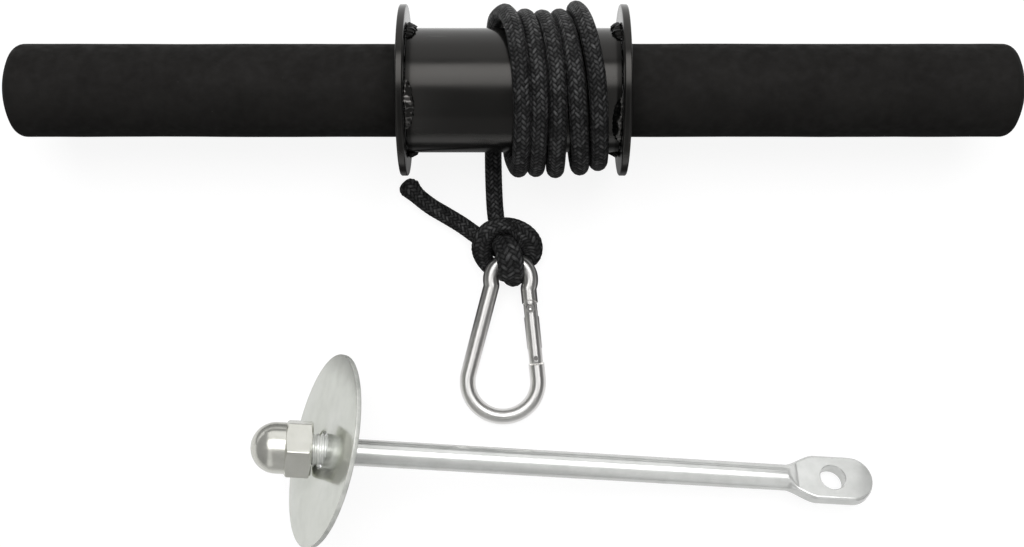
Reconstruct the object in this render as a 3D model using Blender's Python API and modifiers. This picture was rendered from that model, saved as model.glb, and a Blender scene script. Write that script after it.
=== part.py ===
"""Forearm trainer: a roller bar with a rope wound on its drum, a snap hook and a separate loading pin.

Lengths are metres and angles are degrees. +X runs along the roller bar and +Z is up from the surface
that the whole set lies on. The origin is on that surface, under the middle of the set.
"""

import math

import bmesh
import bpy
from mathutils import Matrix, Vector

# Clearances
SEAT_GAP = 0.0003
SWING_GAP = 0.00035

# Roller bar: grips, tubes, flanges and drum
BAR_LENGTH = 0.417
GRIP_D = 0.038
GRIP_CORNER_R = 0.0050
GRIP_DOME_R = 0.035
GRIP_LIP_R = 0.0016
GRIP_END_WALL = 0.009
TUBE_D = 0.0254
TUBE_WALL = 0.002
FLANGE_SPAN = 0.0926
FLANGE_D = 0.070
FLANGE_T = 0.003
FLANGE_EDGE = 0.0004
DRUM_D = 0.0508
DRUM_WALL = 0.002

# Fillet welds between the drum and the flanges; an angle of 0 faces up, and +90 faces +Y
WELD_LEG_ON_DRUM = 0.0043
WELD_LEG_ON_FLANGE = 0.0027
WELD_ARC = 46.0
WELD_STEPS = 8
WELD_END_SHARE = 0.35
WELD_FULLNESS = 0.6
WELD_SECTION = ((0.0, 0.0), (0.0, 1.0), (0.34, 0.80), (0.72, 0.40), (1.0, 0.0))
WELD_CENTRES_LEFT = (-20.0, 70.0, 160.0, 250.0)
WELD_CENTRES_RIGHT = (-36.0, 68.0, 155.0, 245.0)

# Rope: its winding on the drum, its hole in the drum and its knotted inner end
ROPE_D = 0.0073
WINDING_LENGTH = 0.0506
WINDING_SLACK = 0.0010
WINDING_CORNER = 0.0016
ROPE_HOLE_GAP = 0.0006
ROPE_HOLE_ANGLE = -160.0
ROPE_HOLE_FROM_END = 0.0045
STOPPER_D = 0.018
STOPPER_H = 0.015

# Rope: the free stretch, from the winding along the surface and through the knot to its cut end
KNOT_SQUEEZE = 0.90
KNOT_FIRST_POINT = 4
KNOT_LAST_POINT = 29
ROPE_POINT_SPACING = 0.0030
ROPE_ROUTE = (
    (-0.0087, 0.0550, 0.0044),
    (-0.0087, 0.0495, 0.0039),
    (-0.0085, 0.0402, 0.0038),
    (-0.0081, 0.0311, 0.0038),
    (-0.0076, 0.0255, 0.0038),
    (-0.0070, 0.0212, 0.0041),
    (-0.0062, 0.0176, 0.0072),
    (-0.0052, 0.0142, 0.0130),
    (-0.0037, 0.0113, 0.0187),
    (-0.0024, 0.0074, 0.0209),
    (-0.0015, 0.0035, 0.0196),
    (-0.0009, 0.0002, 0.0156),
    (-0.0008, -0.0013, 0.0112),
    (-0.0017, -0.0009, 0.0069),
    (-0.0044, 0.0004, 0.0042),
    (-0.0086, 0.0026, 0.0038),
    (-0.0123, 0.0061, 0.0052),
    (-0.0141, 0.0107, 0.0094),
    (-0.0134, 0.0158, 0.0134),
    (-0.0104, 0.0194, 0.0147),
    (-0.0055, 0.0211, 0.0148),
    (0.0000, 0.0209, 0.0132),
    (0.0052, 0.0188, 0.0116),
    (0.0084, 0.0150, 0.0096),
    (0.0092, 0.0109, 0.0070),
    (0.0075, 0.0073, 0.0048),
    (0.0033, 0.0063, 0.0038),
    (-0.0021, 0.0084, 0.0038),
    (-0.0080, 0.0119, 0.0038),
    (-0.0153, 0.0168, 0.0038),
    (-0.0222, 0.0217, 0.0038),
    (-0.0291, 0.0259, 0.0038),
    (-0.0352, 0.0295, 0.0038),
    (-0.0406, 0.0336, 0.0038),
    (-0.0452, 0.0381, 0.0038),
    (-0.0472, 0.0403, 0.0038),
)

# Snap hook: a pear of bent wire, whose small eye hangs in the rope's knot
HOOK_WIRE_D = 0.0068
HOOK_EYE_R = 0.0084
HOOK_END_R = 0.0152
HOOK_CENTRES = 0.0446
HOOK_NECK_X = 0.0081
HOOK_NECK_Y = 0.0126
HOOK_NECK_ROUND = 0.0012
HOOK_EYE_WRAP = 22.0
HOOK_EYE_AT = (-0.0006, 0.0064, 0.0124)
HOOK_LEAN = 4.3

# Snap hook: the sprung gate in its straight side
RIVET_FROM_NECK = 0.00685
RIVET_D = 0.0026
RIVET_HEAD_D = 0.0038
RIVET_HEAD_H = 0.0006
RIVET_CROWN = 0.6
GATE_D = 0.0064
GATE_REACH = 0.02435
GATE_NOSE_GAP = 0.0006
TONGUE_T = 0.0022
TONGUE_HALF_W = 0.0029
HINGE_SLOT_DEPTH = 0.0046
LATCH_SLOT_DEPTH = 0.0062
LATCH_PIN_D = 0.0016
LATCH_PIN_FROM_END = 0.0023
LATCH_HEAD_T = 0.0016
SPRING_BORE_D = 0.0032
SPRING_BORE_DEPTH = 0.0130
SPRING_D = 0.0025
SPRING_WIRE_D = 0.0004
SPRING_TURNS = 6
SPRING_STEPS = 8
PLUNGER_LENGTH = 0.0028

# Loading pin: a rod with an upset thread at one end and a flattened eye at the other
ROD_D = 0.011
THREAD_D = 0.0139
THREAD_RUN_OUT = 0.0100
THREAD_SHOULDER = 0.0030
THREAD_IN_NUT = 0.0160
THREAD_CHAMFER = 0.0012
EYE_FROM_DISC = 0.2162
EYE_TO_TIP = 0.0175
EYE_W = 0.0206
EYE_T = 0.0060
EYE_CORNER_R = 0.0092
EYE_EDGE_R = 0.0014
EYE_FLAT_LENGTH = 0.0330
EYE_TAPER = 0.0052
EYE_SPREAD = 0.0135
EYE_TAPER_SHARES = (0.0, 0.25, 0.5, 0.75, 1.0, 1.4, 1.9, 2.55)
EYE_TIP_TURN = 86.0
EYE_TIP_STEPS = 6
EYE_HOLE_D = 0.0110
EYE_ROLL = 35.0
PIN_TURN = -4.3

# Loading pin: the loose disc, leaning on its rim, and the acorn nut that keeps it on
DISC_D = 0.080
DISC_T = 0.002
DISC_EDGE = 0.0003
DISC_AZIMUTH = 166.5
DISC_ELEVATION = 22.7
NUT_ACROSS_FLATS = 0.022
NUT_HEX_H = 0.011
NUT_LENGTH = 0.025
NUT_DOME_D = 0.021
NUT_FACE_D = 0.0206
NUT_CHAMFER_ANGLE = 30.0

# Layout of the two loose groups
BAR_TO_DISC_Y = 0.1478
DISC_X = -0.0778

# Fineness of the round forms
ROUND_STEPS = 48
GRIP_STEPS = 40
WIRE_STEP_DEGREES = 11.0
SMOOTH_STEPS = 16
SMOOTH_ANGLE = 40.0

# Plain looks: colour, roughness and metallic share
FOAM = ((0.016, 0.015, 0.014), 0.85, 0.0)
BLACK_ENAMEL = ((0.020, 0.020, 0.019), 0.28, 0.0)
WELD_METAL = ((0.10, 0.10, 0.095), 0.40, 0.3)
ROPE_BRAID = ((0.012, 0.012, 0.013), 0.80, 0.0)
BRIGHT_PLATE = ((0.80, 0.80, 0.78), 0.12, 1.0)
ZINC = ((0.72, 0.73, 0.70), 0.28, 1.0)
SPRING_STEEL = ((0.45, 0.45, 0.45), 0.35, 1.0)

TRAINER = "forearm_trainer"
CUTTERS = "cutters"

# Sizes that follow from those above
BAR_Z = FLANGE_D / 2
GRIP_LENGTH = (BAR_LENGTH - FLANGE_SPAN) / 2 - SEAT_GAP
GRIP_BORE_END = GRIP_LENGTH - GRIP_END_WALL
HOOK_REACH = HOOK_EYE_R + HOOK_CENTRES + HOOK_END_R
HOOK_TILT = math.asin((HOOK_EYE_AT[2] - HOOK_WIRE_D / 2) / HOOK_REACH)
HUB_R = GATE_D / 2
NUT_CORNER_R = NUT_ACROSS_FLATS / math.sqrt(3)
DRUM_REACH = FLANGE_SPAN / 2 - FLANGE_T - SEAT_GAP
WINDING_RIGHT = DRUM_REACH - WELD_LEG_ON_DRUM - SEAT_GAP
WINDING_LEFT = WINDING_RIGHT - WINDING_LENGTH


def disc_normal():
    """The direction that the disc's nut side faces."""
    azimuth, elevation = math.radians(DISC_AZIMUTH), math.radians(DISC_ELEVATION)
    flat = math.cos(elevation)
    return Vector((flat * math.cos(azimuth), flat * math.sin(azimuth), math.sin(elevation)))


def disc_reach(axis):
    """How far the leaning disc reaches from its centre along a world axis, by the axis's number."""
    along = disc_normal()[axis]
    return DISC_D / 2 * math.sqrt(1 - along * along) + DISC_T / 2 * abs(along)


DISC_Z = disc_reach(2)
BAR_Y = (BAR_TO_DISC_Y + disc_reach(1) - FLANGE_D / 2) / 2
DISC_Y = BAR_Y - BAR_TO_DISC_Y


def pin_slope():
    """The rod's angle below level, with the disc on its rim and the eye's lower edge on the surface."""
    roll = math.radians(EYE_ROLL)
    drop = EYE_W / 2 * math.sin(roll) + EYE_T / 2 * math.cos(roll)
    run = EYE_FROM_DISC + EYE_TO_TIP - EYE_CORNER_R
    return math.asin(DISC_Z / math.hypot(run, drop)) - math.atan2(drop, run)


def pin_direction():
    """The direction of the rod from the disc to the eye."""
    turn, slope = math.radians(PIN_TURN), pin_slope()
    level = math.cos(slope)
    return Vector((level * math.cos(turn), level * math.sin(turn), -math.sin(slope)))


DISC_LEAN = disc_normal().angle(-pin_direction())
NUT_FROM_DISC = NUT_FACE_D / 2 * math.tan(DISC_LEAN) + (DISC_T / 2 + SEAT_GAP) / math.cos(DISC_LEAN)


def clear_scene():
    """Remove every object, mesh and curve of the opening scene."""
    for thing in list(bpy.data.objects):
        bpy.data.objects.remove(thing, do_unlink=True)


def collection(name):
    """A collection under the scene's own, made on its first use."""
    if name not in bpy.data.collections:
        bpy.context.scene.collection.children.link(bpy.data.collections.new(name))
    return bpy.data.collections[name]


def material(name, colour, roughness, metallic):
    """A plain Principled material."""
    made = bpy.data.materials.new(name)
    made.use_nodes = True
    shader = made.node_tree.nodes["Principled BSDF"]
    shader.inputs["Base Color"].default_value = (*colour, 1.0)
    shader.inputs["Roughness"].default_value = roughness
    shader.inputs["Metallic"].default_value = metallic
    made.diffuse_color = (*colour, 1.0)
    return made


def empty(name, place=(0, 0, 0), turn=None, parent=None):
    """An empty that carries pieces; turn is a rotation matrix."""
    made = bpy.data.objects.new(name, None)
    made.empty_display_size = 0.01
    made.matrix_basis = Matrix.Translation(place) @ (turn or Matrix.Identity(3)).to_4x4()
    made.parent = parent
    collection(TRAINER).objects.link(made)
    return made


def put(name, mesh, parent, look):
    """Link a mesh as a named piece with its own material."""
    made = bpy.data.objects.new(name, mesh)
    made.parent = parent
    mesh.shade_smooth()
    mesh.set_sharp_from_angle(angle=math.radians(SMOOTH_ANGLE))
    mesh.materials.clear()
    mesh.materials.append(material(name, *look))
    collection(TRAINER).objects.link(made)
    return made


def tool(name, mesh, parent):
    """Link a mesh as a shape that only cuts or joins others."""
    made = bpy.data.objects.new(name, mesh)
    made.parent = parent
    made.hide_render = True
    made.display_type = "WIRE"
    collection(CUTTERS).objects.link(made)
    return made


def boolean(piece, operand, operation="DIFFERENCE"):
    """Cut, join or trim a piece with another shape."""
    step = piece.modifiers.new(operand.name, "BOOLEAN")
    step.operation = operation
    step.solver = "EXACT"
    step.object = operand


def mesh_from(work, name):
    """Turn a bmesh into a mesh with its faces outwards."""
    bmesh.ops.recalc_face_normals(work, faces=work.faces)
    mesh = bpy.data.meshes.new(name)
    work.to_mesh(mesh)
    work.free()
    return mesh


def cylinder(name, radius, length, turn=None, place=(0, 0, 0), segments=ROUND_STEPS):
    """A cylinder about Z through its middle, then turned and moved."""
    work = bmesh.new()
    where = Matrix.Translation(place) @ (turn or Matrix.Identity(3)).to_4x4()
    bmesh.ops.create_cone(
        work, cap_ends=True, segments=segments, radius1=radius, radius2=radius, depth=length, matrix=where
    )
    return mesh_from(work, name)


def box(name, low, high):
    """A box between two corners."""
    work = bmesh.new()
    low, high = Vector(low), Vector(high)
    size = Matrix.Diagonal((*(high - low), 1))
    bmesh.ops.create_cube(work, size=1, matrix=Matrix.Translation((low + high) / 2) @ size)
    return mesh_from(work, name)


def turned(name, profile, closed, steps=ROUND_STEPS):
    """A shape turned about Z from (radius, height) points that run down its outer side."""
    mesh = bpy.data.meshes.new(name)
    count = len(profile)
    edges = [(i, (i + 1) % count) for i in range(count if closed else count - 1)]
    mesh.from_pydata([(r, 0, z) for r, z in profile], edges, [])
    lathe = bpy.data.objects.new(name, mesh)
    collection(CUTTERS).objects.link(lathe)
    spin = lathe.modifiers.new("turn", "SCREW")
    spin.steps = steps
    spin.render_steps = steps
    spin.use_merge_vertices = True
    spin.merge_threshold = 0.000001
    spin.use_smooth_shade = True
    made = evaluated_mesh(lathe)
    made.name = name
    return made


def evaluated_mesh(source):
    """The mesh that an object's modifiers or curve settings give; the object is removed."""
    bpy.context.view_layer.update()
    graph = bpy.context.evaluated_depsgraph_get()
    mesh = bpy.data.meshes.new_from_object(source.evaluated_get(graph))
    bpy.data.objects.remove(source, do_unlink=True)
    work = bmesh.new()
    work.from_mesh(mesh)
    bmesh.ops.remove_doubles(work, verts=work.verts, dist=0.000001)
    bmesh.ops.recalc_face_normals(work, faces=work.faces)
    work.to_mesh(mesh)
    work.free()
    return mesh


def wire(name, points, diameter, resolution=2, radii=None):
    """A closed round wire along points, as a mesh."""
    curve = bpy.data.curves.new(name, "CURVE")
    curve.dimensions = "3D"
    curve.bevel_depth = diameter / 2
    curve.bevel_resolution = resolution
    curve.use_fill_caps = True
    line = curve.splines.new("POLY")
    line.points.add(len(points) - 1)
    for index, (dot, point) in enumerate(zip(line.points, points)):
        dot.co = (*point, 1)
        dot.radius = radii[index] if radii else 1.0
    thing = bpy.data.objects.new(name, curve)
    collection(CUTTERS).objects.link(thing)
    return evaluated_mesh(thing)


def plate(name, outline, thickness):
    """A flat outline in XY, thickened evenly about the plane."""
    curve = bpy.data.curves.new(name, "CURVE")
    curve.dimensions = "2D"
    curve.fill_mode = "BOTH"
    curve.extrude = thickness / 2
    line = curve.splines.new("POLY")
    line.points.add(len(outline) - 1)
    line.use_cyclic_u = True
    for dot, (x, y) in zip(line.points, outline):
        dot.co = (x, y, 0, 1)
    thing = bpy.data.objects.new(name, curve)
    collection(CUTTERS).objects.link(thing)
    return evaluated_mesh(thing)


def loft(name, sections):
    """A closed skin through sections that have equally many points, with flat ends."""
    work = bmesh.new()
    rings = [[work.verts.new(point) for point in section] for section in sections]
    count = len(rings[0])
    for near, far in zip(rings, rings[1:]):
        for i in range(count):
            j = (i + 1) % count
            work.faces.new((near[i], near[j], far[j], far[i]))
    work.faces.new(rings[0])
    work.faces.new(list(reversed(rings[-1])))
    return mesh_from(work, name)


def arc(centre, radius, start, end, step=WIRE_STEP_DEGREES):
    """Points on an arc in the plane, from one angle to another."""
    count = max(2, math.ceil(abs(end - start) / step) + 1)
    turns = [math.radians(start + (end - start) * i / (count - 1)) for i in range(count)]
    return [(centre[0] + radius * math.cos(t), centre[1] + radius * math.sin(t)) for t in turns]


def smooth_line(points, spacing):
    """Points at even spacing on a smooth curve through the given points, with their place in the list."""
    given = [Vector(p) for p in points]
    padded = [2 * given[0] - given[1], *given, 2 * given[-1] - given[-2]]
    fine = []
    for k in range(1, len(padded) - 2):
        a, b, c, d = padded[k - 1 : k + 3]
        for i in range(SMOOTH_STEPS):
            t = i / SMOOTH_STEPS
            spot = b + t / 2 * (c - a + t * (2 * a - 5 * b + 4 * c - d + t * (3 * b - 3 * c + d - a)))
            fine.append((spot, k - 1 + t))
    fine.append((given[-1], len(given) - 1.0))
    chosen, run = [fine[0]], 0.0
    for (before, _), (after, place) in zip(fine, fine[1:]):
        run += (after - before).length
        if run >= spacing:
            chosen.append((after, place))
            run = 0.0
    if (chosen[-1][0] - fine[-1][0]).length < spacing / 2:
        chosen.pop()
    chosen.append(fine[-1])
    return chosen


# Roller bar


def grip_profile():
    """A foam sleeve from its closed, domed end down to its open end at height 0, and up its bore."""
    radius, low = GRIP_D / 2, GRIP_LENGTH - GRIP_DOME_R
    corner_x = radius - GRIP_CORNER_R
    corner_y = low + math.sqrt((GRIP_DOME_R - GRIP_CORNER_R) ** 2 - corner_x ** 2)
    meet = math.degrees(math.atan2(corner_y - low, corner_x))
    dome = [(0.0, GRIP_LENGTH), *arc((0, low), GRIP_DOME_R, 90, meet, 7)[1:]]
    corner = arc((corner_x, corner_y), GRIP_CORNER_R, meet, 0, 14)[1:]
    lip = arc((radius - GRIP_LIP_R, GRIP_LIP_R), GRIP_LIP_R, 0, -90, 30)
    bore = TUBE_D / 2 + SEAT_GAP
    return dome + corner + lip + [(bore, 0.0), (bore, GRIP_BORE_END), (0.0, GRIP_BORE_END)]


def ring_profile(outer, inner, low, high, edge=0.0):
    """The closed section of a ring, with its outer edges bevelled."""
    if not edge:
        return [(outer, high), (outer, low), (inner, low), (inner, high)]
    rim = [(outer - edge, high), (outer, high - edge), (outer, low + edge), (outer - edge, low)]
    return rim + [(inner, low), (inner, high)]


def weld_bead(name, centre_angle):
    """A fillet weld in the corner of drum and flange, thinning towards both ends."""
    base = DRUM_D / 2 + SEAT_GAP
    sections = []
    for i in range(WELD_STEPS + 1):
        share = i / WELD_STEPS
        swell = WELD_END_SHARE + (1 - WELD_END_SHARE) * math.sin(math.pi * share) ** WELD_FULLNESS
        angle = math.radians(centre_angle + (share - 0.5) * WELD_ARC)
        ring = []
        for up, along in WELD_SECTION:
            radius = base + up * swell * WELD_LEG_ON_FLANGE
            height = DRUM_REACH - along * swell * WELD_LEG_ON_DRUM
            ring.append((-radius * math.cos(angle), radius * math.sin(angle), height))
        sections.append(ring)
    return loft(name, sections)


def build_roller():
    """The welded bar with its grips; the frame's own Z runs along the bar."""
    axis = empty("roller_axis", (0, BAR_Y, BAR_Z), Matrix.Rotation(math.pi / 2, 3, "Y"))
    half = FLANGE_SPAN / 2
    for side, centres in (("left", WELD_CENTRES_LEFT), ("right", WELD_CENTRES_RIGHT)):
        sign = 1 if side == "right" else -1
        turn = Matrix.Identity(3) if sign > 0 else Matrix.Rotation(math.pi, 3, "X")
        end = empty(f"{side}_end", turn=turn, parent=axis)
        grip_seat = empty(f"{side}_grip_seat", (0, 0, half + SEAT_GAP), parent=end)
        put(f"grip_{side}", turned(f"grip_{side}", grip_profile(), False, GRIP_STEPS), grip_seat, FOAM)
        tube_end = half + GRIP_BORE_END
        stub = ring_profile(TUBE_D / 2, TUBE_D / 2 - TUBE_WALL, half - FLANGE_T, tube_end)
        put(f"handle_tube_{side}", turned(f"handle_tube_{side}", stub, True), end, BLACK_ENAMEL)
        bore = TUBE_D / 2 + SEAT_GAP
        rim = ring_profile(FLANGE_D / 2, bore, half - FLANGE_T, half, FLANGE_EDGE)
        put(f"flange_{side}", turned(f"flange_{side}", rim, True), end, BLACK_ENAMEL)
        for number, centre in enumerate(centres, 1):
            name = f"weld_{side}_{number}"
            put(name, weld_bead(name, sign * centre), end, WELD_METAL)
    shell = ring_profile(DRUM_D / 2, DRUM_D / 2 - DRUM_WALL, -DRUM_REACH, DRUM_REACH)
    drum = put("drum", turned("drum", shell, True), axis, BLACK_ENAMEL)
    build_winding(axis, drum)


# Rope


def build_winding(axis, drum):
    """The rope's turns as one ring, its hole in the drum and its knotted end inside."""
    inner = DRUM_D / 2 + SEAT_GAP
    outer = inner + ROPE_D + WINDING_SLACK
    ring = [
        (outer - WINDING_CORNER, WINDING_RIGHT),
        (outer, WINDING_RIGHT - WINDING_CORNER),
        (outer, WINDING_LEFT + WINDING_CORNER),
        (outer - WINDING_CORNER, WINDING_LEFT),
        (inner, WINDING_LEFT),
        (inner, WINDING_RIGHT),
    ]
    put("rope_winding", turned("rope_winding", ring, True), axis, ROPE_BRAID)
    angle = math.radians(ROPE_HOLE_ANGLE)
    outwards = Vector((-math.cos(angle), math.sin(angle), 0))
    place = (0, 0, WINDING_RIGHT - ROPE_HOLE_FROM_END)
    seat = empty("rope_hole", place, outwards.to_track_quat("Z", "Y").to_matrix(), axis)
    wall_in = DRUM_D / 2 - DRUM_WALL
    hole_depth = 2 * DRUM_WALL + DRUM_D / 4
    hole = cylinder("rope_hole_cut", ROPE_D / 2 + ROPE_HOLE_GAP, hole_depth, place=(0, 0, DRUM_D / 2))
    boolean(drum, tool("rope_hole_cut", hole, seat))
    stub = [(0, 0, wall_in), (0, 0, DRUM_D / 2)]
    put("rope_in_drum_wall", wire("rope_in_drum_wall", stub, ROPE_D), seat, ROPE_BRAID)
    work = bmesh.new()
    middle = Matrix.Translation((0, 0, wall_in - SEAT_GAP - STOPPER_H / 2))
    shape = Matrix.Diagonal((STOPPER_D / 2, STOPPER_D / 2, STOPPER_H / 2, 1))
    bmesh.ops.create_uvsphere(work, u_segments=14, v_segments=9, radius=1, matrix=middle @ shape)
    put("rope_stopper_knot", mesh_from(work, "rope_stopper_knot"), seat, ROPE_BRAID)


def build_rope_line():
    """The rope's free stretch, drawn a little tighter where it is knotted round the hook's eye."""
    line = smooth_line(ROPE_ROUTE, ROPE_POINT_SPACING)
    radii = [KNOT_SQUEEZE if KNOT_FIRST_POINT <= place <= KNOT_LAST_POINT else 1.0 for _, place in line]
    mesh = wire("rope_line", [point for point, _ in line], ROPE_D, 2, radii)
    put("rope_line", mesh, None, ROPE_BRAID)


# Snap hook


def hook_flare():
    """The angle that each straight side makes with the hook's long axis."""
    centre_y = -(HOOK_EYE_R + HOOK_CENTRES)
    across, along = HOOK_NECK_X, -HOOK_NECK_Y - centre_y
    reach = math.hypot(across, along)
    return math.atan2(along, across) - math.acos(HOOK_END_R / reach)


def beside_neck(distance):
    """A point of the gate side's centreline, by its distance from the neck."""
    flare = hook_flare()
    return (HOOK_NECK_X + distance * math.sin(flare), -HOOK_NECK_Y - distance * math.cos(flare))


def hook_centreline():
    """The bent wire from its nose, round the wide end, up the back and round the eye to the hinge."""
    flare = math.degrees(hook_flare())
    nose = beside_neck(RIVET_FROM_NECK + GATE_REACH + GATE_NOSE_GAP)
    wide = arc((0, -HOOK_EYE_R - HOOK_CENTRES), HOOK_END_R, flare, -180 - flare)
    eye = arc((0, -HOOK_EYE_R), HOOK_EYE_R, 180 + HOOK_EYE_WRAP, -HOOK_EYE_WRAP)
    neck_x, neck_y = beside_neck(HOOK_NECK_ROUND)
    hinge_end = beside_neck(RIVET_FROM_NECK - HUB_R / 2)
    return [nose, *wide, (-neck_x, neck_y), *eye, (neck_x, neck_y), hinge_end]


def hinge_tongue():
    """The flat tongue that the rivet holds, from inside the wire to round the rivet."""
    bow = arc((0, 0), TONGUE_HALF_W, 0, -180, 20)
    root = RIVET_FROM_NECK - HOOK_NECK_ROUND
    return [(-TONGUE_HALF_W, root), (TONGUE_HALF_W, root), *bow]


def latch_tongue():
    """The nose's flat tongue with its notch, open inwards, that keeps hold of the gate's latch pin."""
    root = -(GATE_REACH + GATE_NOSE_GAP + HOOK_WIRE_D / 4)
    pin = -(GATE_REACH - LATCH_PIN_FROM_END)
    below = pin - LATCH_PIN_D / 2 - SWING_GAP
    above = pin + LATCH_PIN_D / 2 + 2 * SWING_GAP
    top = above + LATCH_HEAD_T
    deep = LATCH_PIN_D / 2 + SWING_GAP
    edge = TONGUE_HALF_W
    return [
        (-edge, root), (edge, root), (edge, top), (-edge, top),
        (-edge, above), (deep, above), (deep, below), (-edge, below),
    ]


def build_hook():
    """The bent wire body, its rivet and the gate; the frame's origin is on the eye's wire."""
    turn = Matrix.Rotation(-math.radians(HOOK_LEAN), 3, "Z") @ Matrix.Rotation(HOOK_TILT, 3, "X")
    frame = empty("hook_eye", HOOK_EYE_AT, turn)
    rivet_at = (*beside_neck(RIVET_FROM_NECK), 0)
    pivot = empty("gate_pivot", rivet_at, Matrix.Rotation(hook_flare(), 3, "Z"), frame)
    path = [(x, y, 0) for x, y in hook_centreline()]
    body = put("snap_hook_body", wire("snap_hook_body", path, HOOK_WIRE_D, 4), frame, BRIGHT_PLATE)
    shoulder = cylinder("hinge_shoulder_cut", HUB_R + SWING_GAP, 2 * HOOK_WIRE_D)
    boolean(body, tool("hinge_shoulder_cut", shoulder, pivot))
    boolean(body, tool("hinge_tongue", plate("hinge_tongue", hinge_tongue(), TONGUE_T), pivot), "UNION")
    boolean(body, tool("latch_tongue", plate("latch_tongue", latch_tongue(), TONGUE_T), pivot), "UNION")
    rivet_hole = cylinder("rivet_hole_cut", RIVET_D / 2 + SEAT_GAP, 2 * GATE_D, segments=20)
    rivet_hole_tool = tool("rivet_hole_cut", rivet_hole, pivot)
    boolean(body, rivet_hole_tool)
    build_rivet(pivot)
    build_gate(pivot, rivet_hole_tool)


def build_rivet(pivot):
    """The rivet through the gate's cheeks, with a low head at each side."""
    flat = GATE_D / 2 + SEAT_GAP
    top = flat + RIVET_HEAD_H
    head, shank = RIVET_HEAD_D / 2, RIVET_D / 2
    crown, drop = head * RIVET_CROWN, RIVET_HEAD_H * RIVET_CROWN
    profile = [
        (0.0, top), (crown, top), (head, top - drop), (head, flat), (shank, flat),
        (shank, -flat), (head, -flat), (head, drop - top), (crown, -top), (0.0, -top),
    ]
    put("gate_rivet", turned("gate_rivet", profile, False, 20), pivot, BRIGHT_PLATE)


def build_gate(pivot, rivet_hole):
    """The round gate with a slot at each end, its latch pin, and the spring and plunger in its bore."""
    along = Matrix.Rotation(math.pi / 2, 3, "X")
    length = HUB_R + GATE_REACH
    rod = cylinder("snap_hook_gate", GATE_D / 2, length, along, (0, HUB_R - length / 2, 0), 24)
    gate = put("snap_hook_gate", rod, pivot, BRIGHT_PLATE)
    side = GATE_D
    sides = [(-side, 0), (-side, -2 * GATE_REACH), (side, -2 * GATE_REACH), (side, 0)]
    outline = [*arc((0, 0), HUB_R, 0, 180, 15), *sides]
    boolean(gate, tool("gate_outline", plate("gate_outline", outline, 2 * GATE_D), pivot), "INTERSECT")
    half_slot = TONGUE_T / 2 + SEAT_GAP
    hinge_slot = box("hinge_slot_cut", (-side, -HINGE_SLOT_DEPTH, -half_slot), (side, side, half_slot))
    latch_low, latch_high = -GATE_REACH - side, LATCH_SLOT_DEPTH - GATE_REACH
    latch_slot = box("latch_slot_cut", (-side, latch_low, -half_slot), (side, latch_high, half_slot))
    bore_low, bore_high = -HINGE_SLOT_DEPTH - SPRING_BORE_DEPTH, -HINGE_SLOT_DEPTH + half_slot
    bore_middle = (0, (bore_low + bore_high) / 2, 0)
    bore = cylinder("spring_bore_cut", SPRING_BORE_D / 2, bore_high - bore_low, along, bore_middle, 20)
    pin_place = (0, LATCH_PIN_FROM_END - GATE_REACH, 0)
    pin_hole_r = LATCH_PIN_D / 2 + SEAT_GAP
    pin_hole = cylinder("latch_pin_hole_cut", pin_hole_r, 2 * GATE_D, place=pin_place, segments=16)
    for cutter in (hinge_slot, latch_slot, bore, pin_hole):
        boolean(gate, tool(cutter.name, cutter, pivot))
    boolean(gate, rivet_hole)
    latch_pin = cylinder("gate_latch_pin", LATCH_PIN_D / 2, GATE_D, place=pin_place, segments=16)
    put("gate_latch_pin", latch_pin, pivot, BRIGHT_PLATE)
    plunger_tip = -TONGUE_HALF_W - SWING_GAP
    plunger_middle = (0, plunger_tip - PLUNGER_LENGTH / 2, 0)
    plunger = cylinder("gate_plunger", SPRING_D / 2, PLUNGER_LENGTH, along, plunger_middle, 16)
    put("gate_plunger", plunger, pivot, SPRING_STEEL)
    high, low = plunger_tip - PLUNGER_LENGTH - SEAT_GAP, bore_low + SEAT_GAP
    helix_r = (SPRING_D - SPRING_WIRE_D) / 2
    points, count = [], SPRING_TURNS * SPRING_STEPS
    for i in range(count + 1):
        angle, share = 2 * math.pi * i / SPRING_STEPS, i / count
        y = high - SPRING_WIRE_D / 2 - share * (high - low - SPRING_WIRE_D)
        points.append((helix_r * math.cos(angle), y, helix_r * math.sin(angle)))
    put("gate_spring", wire("gate_spring", points, SPRING_WIRE_D), pivot, SPRING_STEEL)


# Loading pin


def rod_section(height, half_w, half_t, corner_r, count=24):
    """A section across the rod: a bar with rounded corners, or a circle where all three sizes are equal."""
    ring = []
    for i in range(count):
        turn = 2 * math.pi * (i + 0.5) / count
        x = math.copysign(half_w - corner_r, math.cos(turn)) + corner_r * math.cos(turn)
        y = math.copysign(half_t - corner_r, math.sin(turn)) + corner_r * math.sin(turn)
        ring.append((x, y, height))
    return ring


def round_section(height, radius):
    """A round section across the rod."""
    return rod_section(height, radius, radius, radius)


def ease(share):
    """A smooth rise from 0 to 1, level at both ends."""
    return share * share * (3 - 2 * share)


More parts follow.
